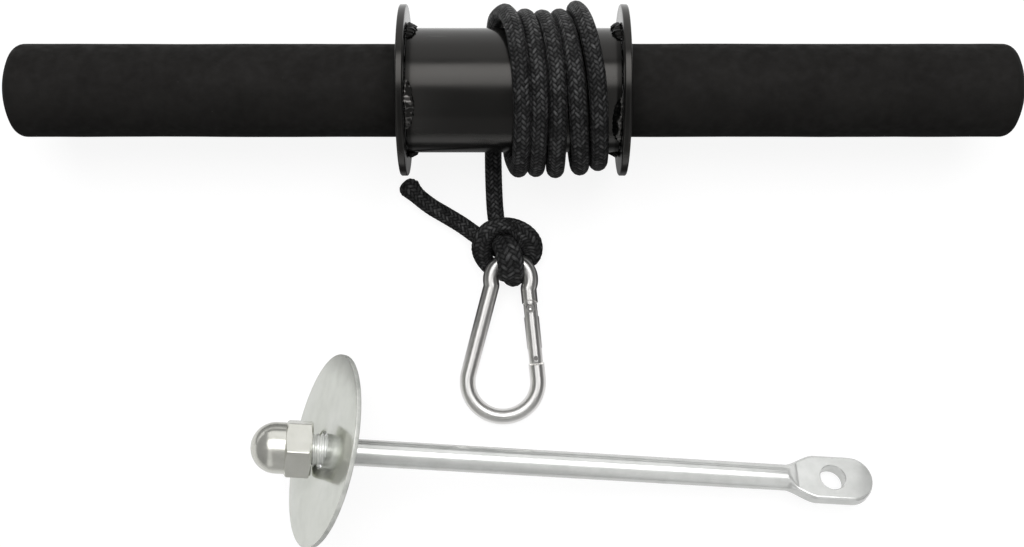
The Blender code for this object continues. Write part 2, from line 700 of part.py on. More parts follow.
def pin_sections():
    """The rod's sections from the thread's end through the disc to the tip of the eye."""
    thread, rod = THREAD_D / 2, ROD_D / 2
    end = -(NUT_FROM_DISC + THREAD_IN_NUT)
    sections = [
        round_section(end, thread - THREAD_CHAMFER),
        round_section(end + THREAD_CHAMFER, thread),
        round_section(THREAD_RUN_OUT, thread),
        round_section(THREAD_RUN_OUT + THREAD_SHOULDER, rod),
    ]
    tip = EYE_FROM_DISC + EYE_TO_TIP
    flat_start = tip - EYE_FLAT_LENGTH
    spread_start = flat_start - EYE_TAPER
    for share in EYE_TAPER_SHARES:
        height = spread_start + EYE_TAPER * share
        flattening = ease(min(share, 1.0))
        half_w = rod + (EYE_W / 2 - rod) * ease((height - spread_start) / EYE_SPREAD)
        half_t = rod + (EYE_T / 2 - rod) * flattening
        corner_r = rod + (EYE_EDGE_R - rod) * flattening
        sections.append(rod_section(height, half_w, half_t, corner_r))
    for i in range(EYE_TIP_STEPS + 1):
        turn = math.radians(EYE_TIP_TURN * i / EYE_TIP_STEPS)
        half_w = EYE_W / 2 - EYE_CORNER_R * (1 - math.cos(turn))
        sections.append(rod_section(tip - EYE_CORNER_R * (1 - math.sin(turn)), half_w, EYE_T / 2, EYE_EDGE_R))
    return sections


def nut_body():
    """The profile that trims the nut's hexagon: a chamfer at each end."""
    drop = (NUT_CORNER_R - NUT_FACE_D / 2) * math.tan(math.radians(NUT_CHAMFER_ANGLE))
    wide = NUT_CORNER_R + SEAT_GAP
    return [
        (0.0, NUT_HEX_H), (NUT_FACE_D / 2, NUT_HEX_H), (wide, NUT_HEX_H - drop),
        (wide, drop), (NUT_FACE_D / 2, 0.0), (0.0, 0.0),
    ]


def build_nut(axis):
    """The acorn nut on the thread: a chamfered hexagon with a domed cap over a blind bore."""
    seat = empty("nut_seat", (0, 0, -NUT_FROM_DISC), Matrix.Rotation(math.pi, 3, "X"), axis)
    hexagon = cylinder("acorn_nut", NUT_CORNER_R, NUT_HEX_H, place=(0, 0, NUT_HEX_H / 2), segments=6)
    nut = put("acorn_nut", hexagon, seat, ZINC)
    boolean(nut, tool("nut_chamfers", turned("nut_chamfers", nut_body(), False), seat), "INTERSECT")
    radius = NUT_DOME_D / 2
    ball = NUT_LENGTH - radius
    dome = [*reversed(arc((0, ball), radius, 0, 90, 10)), (radius, NUT_HEX_H / 2), (0.0, NUT_HEX_H / 2)]
    dome[0] = (0.0, NUT_LENGTH)
    boolean(nut, tool("nut_dome", turned("nut_dome", dome, False), seat), "UNION")
    bore, depth = THREAD_D / 2 + SEAT_GAP, THREAD_IN_NUT + 2 * SEAT_GAP
    bore_cut = cylinder("nut_bore_cut", bore, 2 * depth)
    boolean(nut, tool("nut_bore_cut", bore_cut, seat))


def build_loading_pin():
    """The rod, the loose leaning disc and the nut; the frame's own Z runs from the disc to the eye."""
    turn = pin_direction().to_track_quat("Z", "Y").to_matrix()
    axis = empty("pin_axis", (DISC_X, DISC_Y, DISC_Z), turn)
    level = turn.transposed() @ Vector((0, 0, 1))
    upright = math.atan2(level.y, level.x) - math.pi / 2
    roll = empty("pin_roll", turn=Matrix.Rotation(upright - math.radians(EYE_ROLL), 3, "Z"), parent=axis)
    rod = put("loading_rod", loft("loading_rod", pin_sections()), roll, ZINC)
    through = Matrix.Rotation(math.pi / 2, 3, "X")
    eye_hole = cylinder("eye_hole_cut", EYE_HOLE_D / 2, 2 * EYE_T, through, (0, 0, EYE_FROM_DISC), 32)
    boolean(rod, tool("eye_hole_cut", eye_hole, roll))
    normal = turn.transposed() @ disc_normal()
    lean = empty("disc_lean", turn=(-normal).to_track_quat("Z", "Y").to_matrix(), parent=axis)
    bore = (THREAD_D / 2 + DISC_T / 2 * math.sin(DISC_LEAN)) / math.cos(DISC_LEAN) + SEAT_GAP
    section = ring_profile(DISC_D / 2, bore, -DISC_T / 2, DISC_T / 2, DISC_EDGE)
    put("weight_disc", turned("weight_disc", section, True, 64), lean, ZINC)
    build_nut(axis)


clear_scene()
build_roller()
build_rope_line()
build_hook()
build_loading_pin()
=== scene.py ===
"""Looks of a forearm trainer: a foam-gripped roller with a rope drum, a snap hook and a loading pin.

Every length is in metres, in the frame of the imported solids: +X along the bar, +Z up from the floor.
"""

from __future__ import annotations

import logging
import math
from dataclasses import dataclass
from enum import Enum
from typing import Sequence

import bpy
import numpy as np
from mathutils import Matrix, Vector, noise


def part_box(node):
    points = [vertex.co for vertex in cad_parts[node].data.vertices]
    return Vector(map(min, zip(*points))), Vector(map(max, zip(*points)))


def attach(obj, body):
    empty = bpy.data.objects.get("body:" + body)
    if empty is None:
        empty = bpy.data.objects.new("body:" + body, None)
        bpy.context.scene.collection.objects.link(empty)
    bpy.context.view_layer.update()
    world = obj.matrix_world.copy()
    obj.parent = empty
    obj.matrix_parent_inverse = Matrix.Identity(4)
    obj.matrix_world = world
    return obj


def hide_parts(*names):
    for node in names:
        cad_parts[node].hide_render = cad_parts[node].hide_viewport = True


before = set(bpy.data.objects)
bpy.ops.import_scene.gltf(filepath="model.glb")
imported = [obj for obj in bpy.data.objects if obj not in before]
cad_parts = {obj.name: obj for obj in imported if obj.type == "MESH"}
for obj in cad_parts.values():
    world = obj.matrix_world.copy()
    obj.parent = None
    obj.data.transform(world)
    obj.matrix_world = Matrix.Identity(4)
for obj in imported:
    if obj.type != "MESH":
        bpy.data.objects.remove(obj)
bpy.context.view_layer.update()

LOG = logging.getLogger("forearm_trainer")
MERGE = 0.000001
STEP = 0.001
DRILL_EDGE = 0.0001

Point = tuple[float, float, float]
Pair = tuple[float, float]
Pairs = tuple[Pair, ...]
Points = tuple[Point, ...]
Colour = tuple[float, float, float]
Object = bpy.types.Object
Material = bpy.types.Material
Socket = bpy.types.NodeSocket
Value = Socket | float | Point


class Body(Enum):
    """The rigid bodies that pieces ride on."""

    ROLLER = "roller"
    HOOK = "snap_hook"
    GATE = "gate"
    PIN = "loading_pin"
    DISC = "disc"
    NUT = "nut"


class Slot(Enum):
    """Names of the material slots."""

    FOAM = "foam"
    ENAMEL = "black_enamel"
    WELD = "weld_metal"
    ROPE = "rope_braid"
    BRIGHT = "bright_plate"
    ZINC = "zinc_plate"


# Workshop moves


def lay_down_tools() -> None:
    """Leave edit mode and deselect everything."""
    if bpy.context.mode != "OBJECT":
        bpy.ops.object.mode_set(mode="OBJECT")
    bpy.ops.object.select_all(action="DESELECT")


def take(piece: Object) -> None:
    """Make one piece the only selected and active one."""
    lay_down_tools()
    piece.select_set(True)
    bpy.context.view_layer.objects.active = piece


def pick_points() -> None:
    """Edit the active piece with all its points selected."""
    bpy.ops.object.mode_set(mode="EDIT")
    bpy.ops.mesh.select_mode(type="VERT")
    bpy.ops.mesh.select_all(action="SELECT")


def draw_out(move: Sequence[float]) -> None:
    """Extrude what is selected."""
    bpy.ops.mesh.extrude_region_move(TRANSFORM_OT_translate={"value": move})


def close_seams(piece: Object) -> Object:
    """Merge a piece's doubled points and turn its faces outwards."""
    take(piece)
    pick_points()
    bpy.ops.mesh.remove_doubles(threshold=MERGE)
    bpy.ops.mesh.normals_make_consistent(inside=False)
    lay_down_tools()
    return piece


def settle(piece: Object, place: Matrix) -> Object:
    """Put a piece's place into its mesh, so that its object stays at the origin."""
    take(piece)
    piece.matrix_world = place @ piece.matrix_world
    bpy.ops.object.transform_apply()
    lay_down_tools()
    return piece


def finish_with(piece: Object, kind: str, **settings: object) -> None:
    """Add a modifier to a piece, set it and apply it."""
    take(piece)
    step = piece.modifiers.new(kind.title(), kind)
    for key, value in settings.items():
        setattr(step, key, value)
    bpy.ops.object.modifier_apply(modifier=step.name)
    lay_down_tools()


def combine(piece: Object, shape: Object, operation: str = "DIFFERENCE") -> None:
    """Cut, join or trim a piece with another shape, which is used up."""
    finish_with(piece, "BOOLEAN", operation=operation, solver="EXACT", object=shape)
    bpy.data.objects.remove(shape, do_unlink=True)


def draw_line(points: Sequence[Point]) -> Object:
    """Draw a line by extruding one point again and again, and stay in edit mode with all of it selected."""
    lay_down_tools()
    bpy.ops.mesh.primitive_plane_add(size=STEP, location=points[0])
    bpy.ops.object.transform_apply()
    pick_points()
    bpy.ops.mesh.merge(type="CENTER")
    for here, there in zip(points, points[1:]):
        draw_out([b - a for a, b in zip(here, there)])
    bpy.ops.mesh.select_all(action="SELECT")
    return bpy.context.object


def spun(outline: Sequence[Pair], steps: int, closed: bool = False) -> Object:
    """Turn an outline about Z: its points are (radius, height), from the top down the outside."""
    points = [*outline, outline[0]] if closed else outline
    piece = draw_line([(radius, 0.0, height) for radius, height in points])
    bpy.ops.mesh.spin(steps=steps, angle=math.tau, center=(0, 0, 0), axis=(0, 0, 1))
    return close_seams(piece)


def plate(outline: Sequence[Pair], thickness: float) -> Object:
    """A flat plate from its outline in XY, even about the plane."""
    piece = draw_line([(x, y, -thickness / 2) for x, y in outline])
    bpy.ops.mesh.edge_face_add()
    draw_out((0, 0, thickness))
    return close_seams(piece)


def arc(centre: Pair, radius: float, start: float, end: float, count: int) -> list[Pair]:
    """Points on an arc in a plane, between two angles in degrees."""
    angles = [math.radians(start + (end - start) * i / (count - 1)) for i in range(count)]
    return [(centre[0] + radius * math.cos(a), centre[1] + radius * math.sin(a)) for a in angles]


def mirrored(upper: Sequence[Pair]) -> list[Pair]:
    """An outline from its upper half."""
    return [*upper, *((x, -y) for x, y in reversed(upper))]


def rod(radius: float, low: float, high: float, edge: float, steps: int = 48) -> Object:
    """A rod along Z with rounded ends."""
    top = arc((radius - edge, high - edge), edge, 90, 0, 4)
    bottom = arc((radius - edge, low + edge), edge, 0, -90, 4)
    return spun([(0.0, high), *top, *bottom, (0.0, low)], steps)


def washer(outer: float, bore: float, half: float, edges: Pair, steps: int) -> Object:
    """A ring about Z with rounded edges, outside and in the bore."""
    edge, inner = edges
    outline = [
        *arc((outer - edge, half - edge), edge, 90, 0, 5),
        *arc((outer - edge, edge - half), edge, 0, -90, 5),
        *arc((bore + inner, inner - half), inner, -90, -180, 3),
        *arc((bore + inner, half - inner), inner, 180, 90, 3),
    ]
    return spun(outline, steps, closed=True)


def skinned(sections: Sequence[np.ndarray]) -> Object:
    """Grow a closed skin with flat ends ring by ring through sections with equally many points."""
    lay_down_tools()
    count = len(sections[0])
    bpy.ops.mesh.primitive_circle_add(vertices=count, radius=10 * STEP, fill_type="NGON")
    piece = bpy.context.object
    pick_points()
    for _ in sections[1:]:
        draw_out((0, 0, STEP))
    lay_down_tools()
    order = np.array([point.co for point in piece.data.vertices])
    level = np.rint(order[:, 2] / STEP).astype(int)
    angle = np.degrees(np.arctan2(order[:, 1], order[:, 0])) % 360
    turn = np.rint(angle / (360 / count)).astype(int) % count
    piece.data.vertices.foreach_set("co", np.array(sections)[level, turn].ravel())
    return close_seams(piece)


def copy_of_node(node: str) -> Object:
    """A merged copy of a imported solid, free of its body."""
    piece = bpy.data.objects.new(node + "_copy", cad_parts[node].data.copy())
    bpy.context.scene.collection.objects.link(piece)
    piece.data.materials.clear()
    return close_seams(piece)


def corners(node: str) -> tuple[Vector, Vector]:
    """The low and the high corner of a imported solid's box."""
    low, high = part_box(node)
    return Vector(low), Vector(high)


def aimed(direction: Point | Vector) -> Matrix:
    """A turn that leads Z along a direction."""
    return Vector(direction).to_track_quat("Z", "Y").to_matrix().to_4x4()


def turned(degrees: float, axis: str) -> Matrix:
    """A turn about an axis."""
    return Matrix.Rotation(math.radians(degrees), 4, axis)


def mount(
    piece: Object, name: str, body: Body, slot: Slot, finish: Material, *nodes: str, angle: float = 35.0
) -> None:
    """Name, shade and dress a new piece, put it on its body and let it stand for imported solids.

    Edges past the angle, in degrees, look sharp.
    """
    take(piece)
    bpy.ops.object.shade_smooth_by_angle(angle=math.radians(angle))
    lay_down_tools()
    piece.name = name
    piece.data.name = name
    piece.data.materials.clear()
    piece.data.materials.append(finish)
    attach(piece, body.value)
    if nodes:
        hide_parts(*nodes)
    LOG.info("%s rides on %s", name, body.value)


def dress_node(node: str, finish: Material) -> None:
    """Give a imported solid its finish."""
    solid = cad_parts[node]
    if not solid.material_slots:
        solid.data.materials.append(finish)
    for held in solid.material_slots:
        held.material = finish
    LOG.info("%s is dressed", node)


# Finishes


class Sheet:
    """A sheet of shader nodes, whose methods each give a socket."""

    def __init__(self, tree: bpy.types.NodeTree) -> None:
        """Start on a node tree."""
        self.tree = tree

    def feed(self, target: Socket, value: Value) -> None:
        """Give an input a constant, or lead another node's output into it."""
        if isinstance(value, Socket):
            self.tree.links.new(value, target)
        else:
            target.default_value = (*value, 1.0) if target.type == "RGBA" else value

    def add(
        self, kind: str, inputs: dict[str | int, Value] | None = None, **settings: object
    ) -> bpy.types.NodeOutputs:
        """Add a node, set it and feed its inputs."""
        node = self.tree.nodes.new("ShaderNode" + kind)
        for key, value in settings.items():
            setattr(node, key, value)
        for key, value in (inputs or {}).items():
            self.feed(node.inputs[key], value)
        return node.outputs

    def math(self, operation: str, first: Value, second: Value = 0.0) -> Socket:
        """What an operation makes of two values."""
        return self.add("Math", {0: first, 1: second}, operation=operation)[0]

    def times(self, first: Value, second: Value) -> Socket:
        """The product of two values."""
        return self.math("MULTIPLY", first, second)

    def less(self, first: Value, second: Value) -> Socket:
        """The difference of two values."""
        return self.math("SUBTRACT", first, second)

    def vector(self, operation: str, first: Value, second: Value) -> Socket:
        """What an operation makes of two vectors."""
        return self.add("VectorMath", {0: first, 1: second}, operation=operation)[0]

    def choose(self, share: Socket, first: Value, second: Value) -> Socket:
        """The first value where share is 0, the second where it is 1."""
        return self.add("Mix", {0: share, 2: first, 3: second}, data_type="FLOAT")[0]

    def tint(self, share: Socket, first: Value, second: Value) -> Socket:
        """The first colour where share is 0, the second where it is 1."""
        return self.add("Mix", {0: share, 6: first, 7: second}, data_type="RGBA")[2]

    def speckle(
        self,
        scale: float,
        detail: float = 2.0,
        roughness: float = 0.5,
        stretch: Point = (1, 1, 1),
        at: Socket | None = None,
    ) -> Socket:
        """Noise around 0.5 with so many cells a metre, read in the object's own frame or at a given place."""
        place = at or self.add("TexCoord")["Object"]
        scaled = self.add("Mapping", {"Scale": stretch, "Vector": place})["Vector"]
        inputs = {"Scale": scale, "Detail": detail, "Roughness": roughness, "Vector": scaled}
        return self.add("TexNoise", inputs)["Fac"]

    def spread(
        self, value: Socket, low: Value, high: Value, start: float = 0.0, end: float = 1.0, soft: bool = False
    ) -> Socket:
        """A value's stretch from start to end, laid out from low to high, eased at both ends where soft."""
        inputs = {"Value": value, "From Min": start, "From Max": end, "To Min": low, "To Max": high}
        return self.add("MapRange", inputs, interpolation_type="SMOOTHSTEP" if soft else "LINEAR")["Result"]

    def patches(self, start: float, end: float, *noise_settings: float | Point) -> Socket:
        """Where noise stands between two levels, from 0 to 1."""
        return self.spread(self.speckle(*noise_settings), 0.0, 1.0, start, end)

    def profile(self, share: Socket, stops: Sequence[Pair], top: float) -> Socket:
        """A curve through stops of (share, value), with values up to top."""
        outputs = self.add("ValToRGB", {"Fac": share})
        ramp = outputs[0].node.color_ramp
        for index, (place, value) in enumerate(stops):
            stop = ramp.elements[index] if index < 2 else ramp.elements.new(place)
            stop.position = place
            stop.color = (value / top,) * 3 + (1.0,)
        return self.times(outputs["Color"], top)

    def bump(
        self, height: Socket, distance: float, strength: float = 1.0, under: Socket | None = None
    ) -> Socket:
        """A surface relief of so many metres, over another where one is given."""
        inputs = {"Strength": strength, "Distance": distance, "Height": height}
        if under is not None:
            inputs["Normal"] = under
        return self.add("Bump", inputs)["Normal"]


class Board(Sheet):
    """A material's node sheet."""

    def __init__(self, name: str) -> None:
        """Start a material with one Principled shader."""
        self.material = bpy.data.materials.new(name)
        self.material.use_nodes = True
        super().__init__(self.material.node_tree)

    def shade(self, **values: Value) -> Material:
        """Feed the shader's inputs, named with _ for a space, and hand over the material."""
        for name, value in values.items():
            self.feed(self.tree.nodes["Principled BSDF"].inputs[name.replace("_", " ")], value)
        return self.material


@dataclass(frozen=True)
class FoamFinish:
    """Closed-cell foam: near black, matt, with fine cells, faint clouds and rare pale specks."""

    dark: Colour = (0.0120, 0.0113, 0.0106)
    light: Colour = (0.0175, 0.0166, 0.0157)
    speck: Colour = (0.045, 0.043, 0.040)
    relief: float = 0.00006
    cells_per_metre: float = 1500.0
    clouds_per_metre: float = 70.0
    specks_per_metre: float = 420.0

    def build(self) -> Material:
        """Make the material."""
        board = Board("foam")
        clouds = board.patches(0.32, 0.70, self.clouds_per_metre, 5.0, 0.6)
        specks = board.patches(0.74, 0.80, self.specks_per_metre, 3.0, 0.7)
        cells = board.bump(board.speckle(self.cells_per_metre, 3.0, 0.7), self.relief, 0.8)
        return board.shade(
            Base_Color=board.tint(specks, board.tint(clouds, self.dark, self.light), self.speck),
            Roughness=board.spread(board.speckle(260.0, 3.0), 0.66, 0.90, 0.3, 0.7),
            Normal=board.bump(board.speckle(90.0, 2.0), self.relief * 4, 0.35, cells),
            Specular_IOR_Level=0.12,
        )


@dataclass(frozen=True)
class EnamelFinish:
    """Gloss black enamel on steel: a faint orange peel, dulled patches and hairline scratches."""

    colour: Colour = (0.0060, 0.0060, 0.0057)
    scratch: Colour = (0.060, 0.060, 0.056)
    roughness: float = 0.15
    peel: float = 0.000012
    gloss: float = 0.42
    tint: Colour = (1.0, 0.965, 0.925)
    dulling: Pair = (-0.03, 0.07)
    scratch_dulling: float = 0.2
    hairs_per_metre: float = 950.0
    patches_per_metre: float = 55.0

    def build(self, name: str) -> Material:
        """Make the material."""
        board = Board(name)
        hairs = board.patches(0.71, 0.76, self.hairs_per_metre, 1.0, 0.3, (0.05, 1.0, 1.0))
        worn = board.patches(0.54, 0.66, self.patches_per_metre, 2.0, 0.5)
        scratches = board.times(hairs, worn)
        low, high = (self.roughness + by for by in self.dulling)
        dull = board.spread(board.speckle(45.0, 4.0, 0.6), low, high, 0.3, 0.7)
        return board.shade(
            Base_Color=board.tint(scratches, self.colour, self.scratch),
            Roughness=board.math("ADD", dull, board.times(scratches, self.scratch_dulling)),
            Normal=board.bump(board.speckle(520.0, 2.0, 0.4), self.peel, 0.5),
            Specular_IOR_Level=self.gloss,
            Specular_Tint=self.tint,
        )


@dataclass(frozen=True)
class PlateFinish:
    """A plated metal: its tones, how dull and mottled the bath leaves it, and how much it scatters light.

    Wire drawn in the plane with a given normal blurs what it mirrors along its length.
    """

    tone: Colour
    shade: Colour
    roughness: float
    mottle: float
    relief: float
    grain_per_metre: float
    metal: float = 1.0
    stretch: Point = (1, 1, 1)
    drawn_in: Point | None = None
    clouds_per_metre: float = 130.0

    def build(self, name: str) -> Material:
        """Make the material."""
        board = Board(name)
        clouds = board.patches(0.34, 0.62, self.clouds_per_metre, 5.0, 0.65)
        grain = board.speckle(self.grain_per_metre, 3.0, 0.6, self.stretch)
        low, high = self.roughness - self.mottle, self.roughness + self.mottle
        if self.drawn_in:
            along = board.vector("CROSS_PRODUCT", board.add("TexCoord")["Normal"], self.drawn_in)
            along = board.vector("ADD", along, (0.0, 0.01, 0.0))
            spaces = {"convert_from": "OBJECT", "convert_to": "WORLD"}
            tangent = board.add("VectorTransform", {0: along}, vector_type="VECTOR", **spaces)[0]
            board.shade(Tangent=tangent, Anisotropic=1.0)
        return board.shade(
            Base_Color=board.tint(clouds, self.shade, self.tone),
            Roughness=board.spread(grain, low, high, 0.3, 0.7),
            Normal=board.bump(grain, self.relief, 0.5),
            Metallic=self.metal,
        )


@dataclass(frozen=True)
class BraidFinish:
    """Black polyester braid on the rope's UV map: strands of two lays, each over two and under two, coloured
    with painted shade in the gaps between strands and painted glints on their crowns.
    """

    # The colour runs from dark, painted shade in the gaps between strands, to light, a painted glint on the
    # strands' crowns
    dark: Colour = (0.0060, 0.0060, 0.0061)
    light: Colour = (0.0650, 0.0652, 0.0662)
    strands: int = 12
    pick: float = 0.0020
    plies: float = 3.0
    relief: float = 0.00032
    bulge: float = 0.6
    dip: float = 0.3

    def height(self, along: np.ndarray, around: np.ndarray) -> np.ndarray:
        """The weave's height, 0 to 1, at metres along the rope and shares round it, as in the material."""
        one, other = along / self.pick + around * self.strands, along / self.pick - around * self.strands
        column = (np.floor(one) - np.floor(other)) % 4
        second = column > 1.5
        own, cross = np.where(second, other, one), np.where(second, one, other)
        run = (np.where(second, column - 2, 1 - column) + cross % 1.0) / 2
        across, crown = (np.sin(np.pi * share) ** self.bulge for share in (own % 1.0, run))
        return across * (self.dip + (1 - self.dip) * crown)

    def build(self) -> Material:
        """Make the material."""
        board = Board("rope_braid")
        times, less = board.times, board.less
        place = board.add("SeparateXYZ", {0: board.add("TexCoord")["UV"]})
        along, around = times(place[0], 1.0 / self.pick), times(place[1], float(self.strands))
        one, other = board.math("ADD", along, around), less(along, around)
        steps = less(board.math("FLOOR", one), board.math("FLOOR", other))
        column = board.math("FLOORED_MODULO", steps, 4.0)
        second = board.math("GREATER_THAN", column, 1.5)
        own, cross = board.choose(second, one, other), board.choose(second, other, one)
        half = board.choose(second, less(1.0, column), less(column, 2.0))
        run = board.math("DIVIDE", board.math("ADD", half, board.math("FRACT", cross)), 2.0)
        across = self.arch(board, board.math("FRACT", own), self.bulge)
        crown = times(across, board.spread(self.arch(board, run, self.bulge), self.dip, 1.0))
        ply = self.arch(board, board.math("FRACT", times(own, self.plies)), 0.8)
        height = times(crown, board.spread(ply, 0.72, 1.0))
        thread = board.add("CombineXYZ", {0: times(own, 9.0), 1: times(cross, 1.1), 2: second})
        filament_grain_and_painted_glints = board.speckle(1.0, 2.0, 0.6, at=thread[0])
        crossing = less(board.math("FLOOR", cross), half)
        stroke = board.add("CombineXYZ", {0: board.math("FLOOR", own), 1: crossing, 2: second})
        chance = board.add("TexWhiteNoise", {"Vector": stroke[0]}, noise_dimensions="3D")["Value"]
        # Painted shade and glints in the colour: darker with the weave's height into the gaps, lighter with
        # the glint noise on the crowns; chance varies each stroke at random
        tone = times(height, board.spread(filament_grain_and_painted_glints, 0.25, 1.35, 0.3, 0.7))
        tone = times(tone, board.spread(chance, 0.6, 1.4))
        gloss = times(board.math("POWER", chance, 2.0), board.math("POWER", height, 2.0))
        return board.shade(
            Base_Color=board.tint(board.spread(tone, 0.0, 1.0, 0.2, 1.0), self.dark, self.light),
            Roughness=board.spread(filament_grain_and_painted_glints, 0.56, 0.34, 0.35, 0.7),
            Specular_IOR_Level=board.spread(gloss, 0.12, 1.0),
            Normal=board.bump(filament_grain_and_painted_glints, 0.00006, 0.5, board.bump(height, self.relief, 1.0)),
        )

    @staticmethod
    def arch(board: Board, share: Socket, power: float) -> Socket:
        """A rise and fall over a share from 0 to 1."""
        return board.math("POWER", board.math("SINE", board.times(share, math.pi)), power)


HOOK_FACE: Point = (-0.009895, -0.131593, 0.991254)
ZINC_SHEET = PlateFinish((0.81, 0.83, 0.77), (0.74, 0.76, 0.70), 0.17, 0.03, 0.000006, 1400.0, 0.74)
ZINC_CUT = PlateFinish((0.84, 0.85, 0.81), (0.60, 0.62, 0.58), 0.40, 0.08, 0.00002, 1500.0, 0.25)
ZINC_ROD = PlateFinish((0.88, 0.89, 0.87), (0.78, 0.79, 0.77), 0.17, 0.07, 0.000045, 900.0, 0.46, (0.5, 1, 1))
ZINC_NUT = PlateFinish((0.80, 0.80, 0.74), (0.73, 0.73, 0.67), 0.22, 0.05, 0.000006, 1200.0, 0.72)
BRIGHT_NICKEL = PlateFinish((0.90, 0.89, 0.87), (0.84, 0.83, 0.81), 0.14, 0.03, 0.000004, 700.0)
DRAWN_NICKEL = PlateFinish(
    (0.92, 0.91, 0.89), (0.86, 0.85, 0.83), 0.34, 0.02, 0.0000015, 500.0, drawn_in=HOOK_FACE
)
SPRING_WIRE = PlateFinish((0.50, 0.50, 0.50), (0.40, 0.40, 0.40), 0.30, 0.05, 0.000005, 2000.0)


# Rope


def unit(vectors: np.ndarray) -> np.ndarray:
    """Vectors brought to the length 1."""
    return vectors / np.linalg.norm(vectors, axis=-1, keepdims=True)


def distances(line: np.ndarray) -> np.ndarray:
    """The distance along a line to each of its points."""
    steps = np.linalg.norm(np.diff(line[:, :3], axis=0), axis=1)
    return np.concatenate([[0.0], np.cumsum(steps)])


def spokes(sides: int, across: np.ndarray, up: np.ndarray) -> np.ndarray:
    """Rings of spokes with the length 1 between two cross directions."""
    turn = np.linspace(0, math.tau, sides, endpoint=False)[:, None]
    return np.cos(turn) * across[:, None] + np.sin(turn) * up[:, None]


def smooth_route(points: Sequence[Sequence[float]], spacing: float) -> np.ndarray:
    """Even points on a smooth curve through given points, whose columns past the third run along with it."""
    given = np.array(points, float)
    ends = np.vstack([2 * given[0] - given[1], given, 2 * given[-1] - given[-2]])
    fine = []
    for a, b, c, d in zip(ends, ends[1:], ends[2:], ends[3:]):
        for t in np.linspace(0, 1, 24, endpoint=False):
            bend = t * (2 * a - 5 * b + 4 * c - d + t * (3 * b - 3 * c + d - a))
            fine.append(b + t / 2 * (c - a + bend))
    fine = np.array([*fine, given[-1]])
    run = distances(fine)
    stops = np.linspace(0, run[-1], max(2, round(run[-1] / spacing)) + 1)
    return np.column_stack([np.interp(stops, run, column) for column in fine.T])


def carried_along(centres: np.ndarray) -> tuple[np.ndarray, np.ndarray, np.ndarray]:
    """A curve's direction at each point, and two cross directions that don't twist along it."""
    ahead = unit(np.gradient(centres, axis=0))
    sides = [unit(np.cross(ahead[0], (0.0, 0.0, 1.0) if abs(ahead[0][2]) < 0.9 else (1.0, 0.0, 0.0)))]
    for direction in ahead[1:]:
        sides.append(unit(sides[-1] - direction * np.dot(sides[-1], direction)))
    across = np.array(sides)
    return ahead, across, np.cross(ahead, across)


@dataclass
class RopeSkin:
    """A closed round skin on a curve; its UV map runs in metres along it and from 0 to 1 round it."""

    line: np.ndarray
    radius: float
    sides: int
    weave: BraidFinish
    relief: float = 0.00022
    mean_height: float = 0.62
    frayed: float = 0.0
    fray_rings: int = 40
    fray_depth: float = 0.22
    fray_along: float = 900
    fray_around: float = 2.2
    # The cut end's girth as shares of the rope's, by shares of the frayed length from its tip
    end_shape: Pairs = (
        (0.0, 0.45), (0.02, 0.66), (0.06, 0.80), (0.14, 0.97), (0.24, 1.14), (0.35, 1.25), (0.50, 1.20),
        (0.70, 1.08), (1.0, 1.0),
    )
    lean: Point = (0.0, -0.15, 1.0)
    floor: float = 0.0001
    middles: np.ndarray | None = None

    def rings(self) -> np.ndarray:
        """The skin's points, one ring for each point of the line."""
        centres, run = self.line[:, :3], distances(self.line)
        width, thickness, inward = self.line[:, 3:6].T
        ahead, across, up = carried_along(centres)
        turn = np.linspace(0, math.tau, self.sides, endpoint=False)
        height = self.weave.height(run[:, None], turn[None] / math.tau)
        radii = self.radius + self.relief * (height - self.mean_height)
        if self.frayed:
            radii *= self.fray(run, turn)
        rings = radii[:, :, None] * spokes(self.sides, across, up)
        wide = unit(np.cross(ahead, self.lean))
        for share, axis in ((width, wide), (thickness, np.cross(ahead, wide))):
            reach = np.einsum("nkc,nc->nk", rings, axis) * (share - 1)[:, None]
            rings += reach[:, :, None] * axis[:, None]
        self.middles = centres + inward[:, None] * wide
        rings += self.middles[:, None]
        rings[:, :, 2] = np.maximum(rings[:, :, 2], self.floor)
        return rings

    def fray(self, run: np.ndarray, turn: np.ndarray) -> np.ndarray:
        """How the cut end swells, frays and rounds off, as a share of the radius."""
        left = (run[-1] - run) / self.frayed
        swell = np.interp(left, *zip(*self.end_shape))
        last = slice(-self.fray_rings, None)
        along, reach = self.fray_along, self.fray_around
        rough = [
            [noise.noise((at * along, math.cos(t) * reach, math.sin(t) * reach)) for t in turn]
            for at in run[last]
        ]
        ragged = np.ones((len(run), len(turn)))
        ragged[last] += np.array(rough) * self.fray_depth * np.clip(1 - left[last], 0, 1)[:, None]
        return swell[:, None] * ragged

    def build(self) -> Object:
        """Make the skin."""
        rings, run, sides = self.rings(), distances(self.line), self.sides
        count = len(rings)
        points = np.vstack([rings.reshape(-1, 3), rings[0].mean(axis=0), rings[-1].mean(axis=0)])
        faces, maps = [], []
        for i in range(count - 1):
            for j in range(sides):
                quad = ((i, j), (i, j + 1), (i + 1, j + 1), (i + 1, j))
                faces.append([ring * sides + place % sides for ring, place in quad])
                maps += [(run[ring], place / sides) for ring, place in quad]
        for j in range(sides):
            for end, ring, tip, pair in (
                (0, 0, run[0], (j + 1, j)),
                (1, count - 1, run[-1] + self.radius, (j, j + 1)),
            ):
                faces.append([count * sides + end, *(ring * sides + place % sides for place in pair)])
                maps += [(tip, (j + 0.5) / sides), *((run[ring], place / sides) for place in pair)]
        mesh = bpy.data.meshes.new("skin")
        mesh.from_pydata(points.tolist(), [], faces)
        mesh.uv_layers.new(name="UVMap").data.foreach_set("uv", np.array(maps).ravel())
        piece = bpy.data.objects.new("skin", mesh)
        bpy.context.scene.collection.objects.link(piece)
        return piece


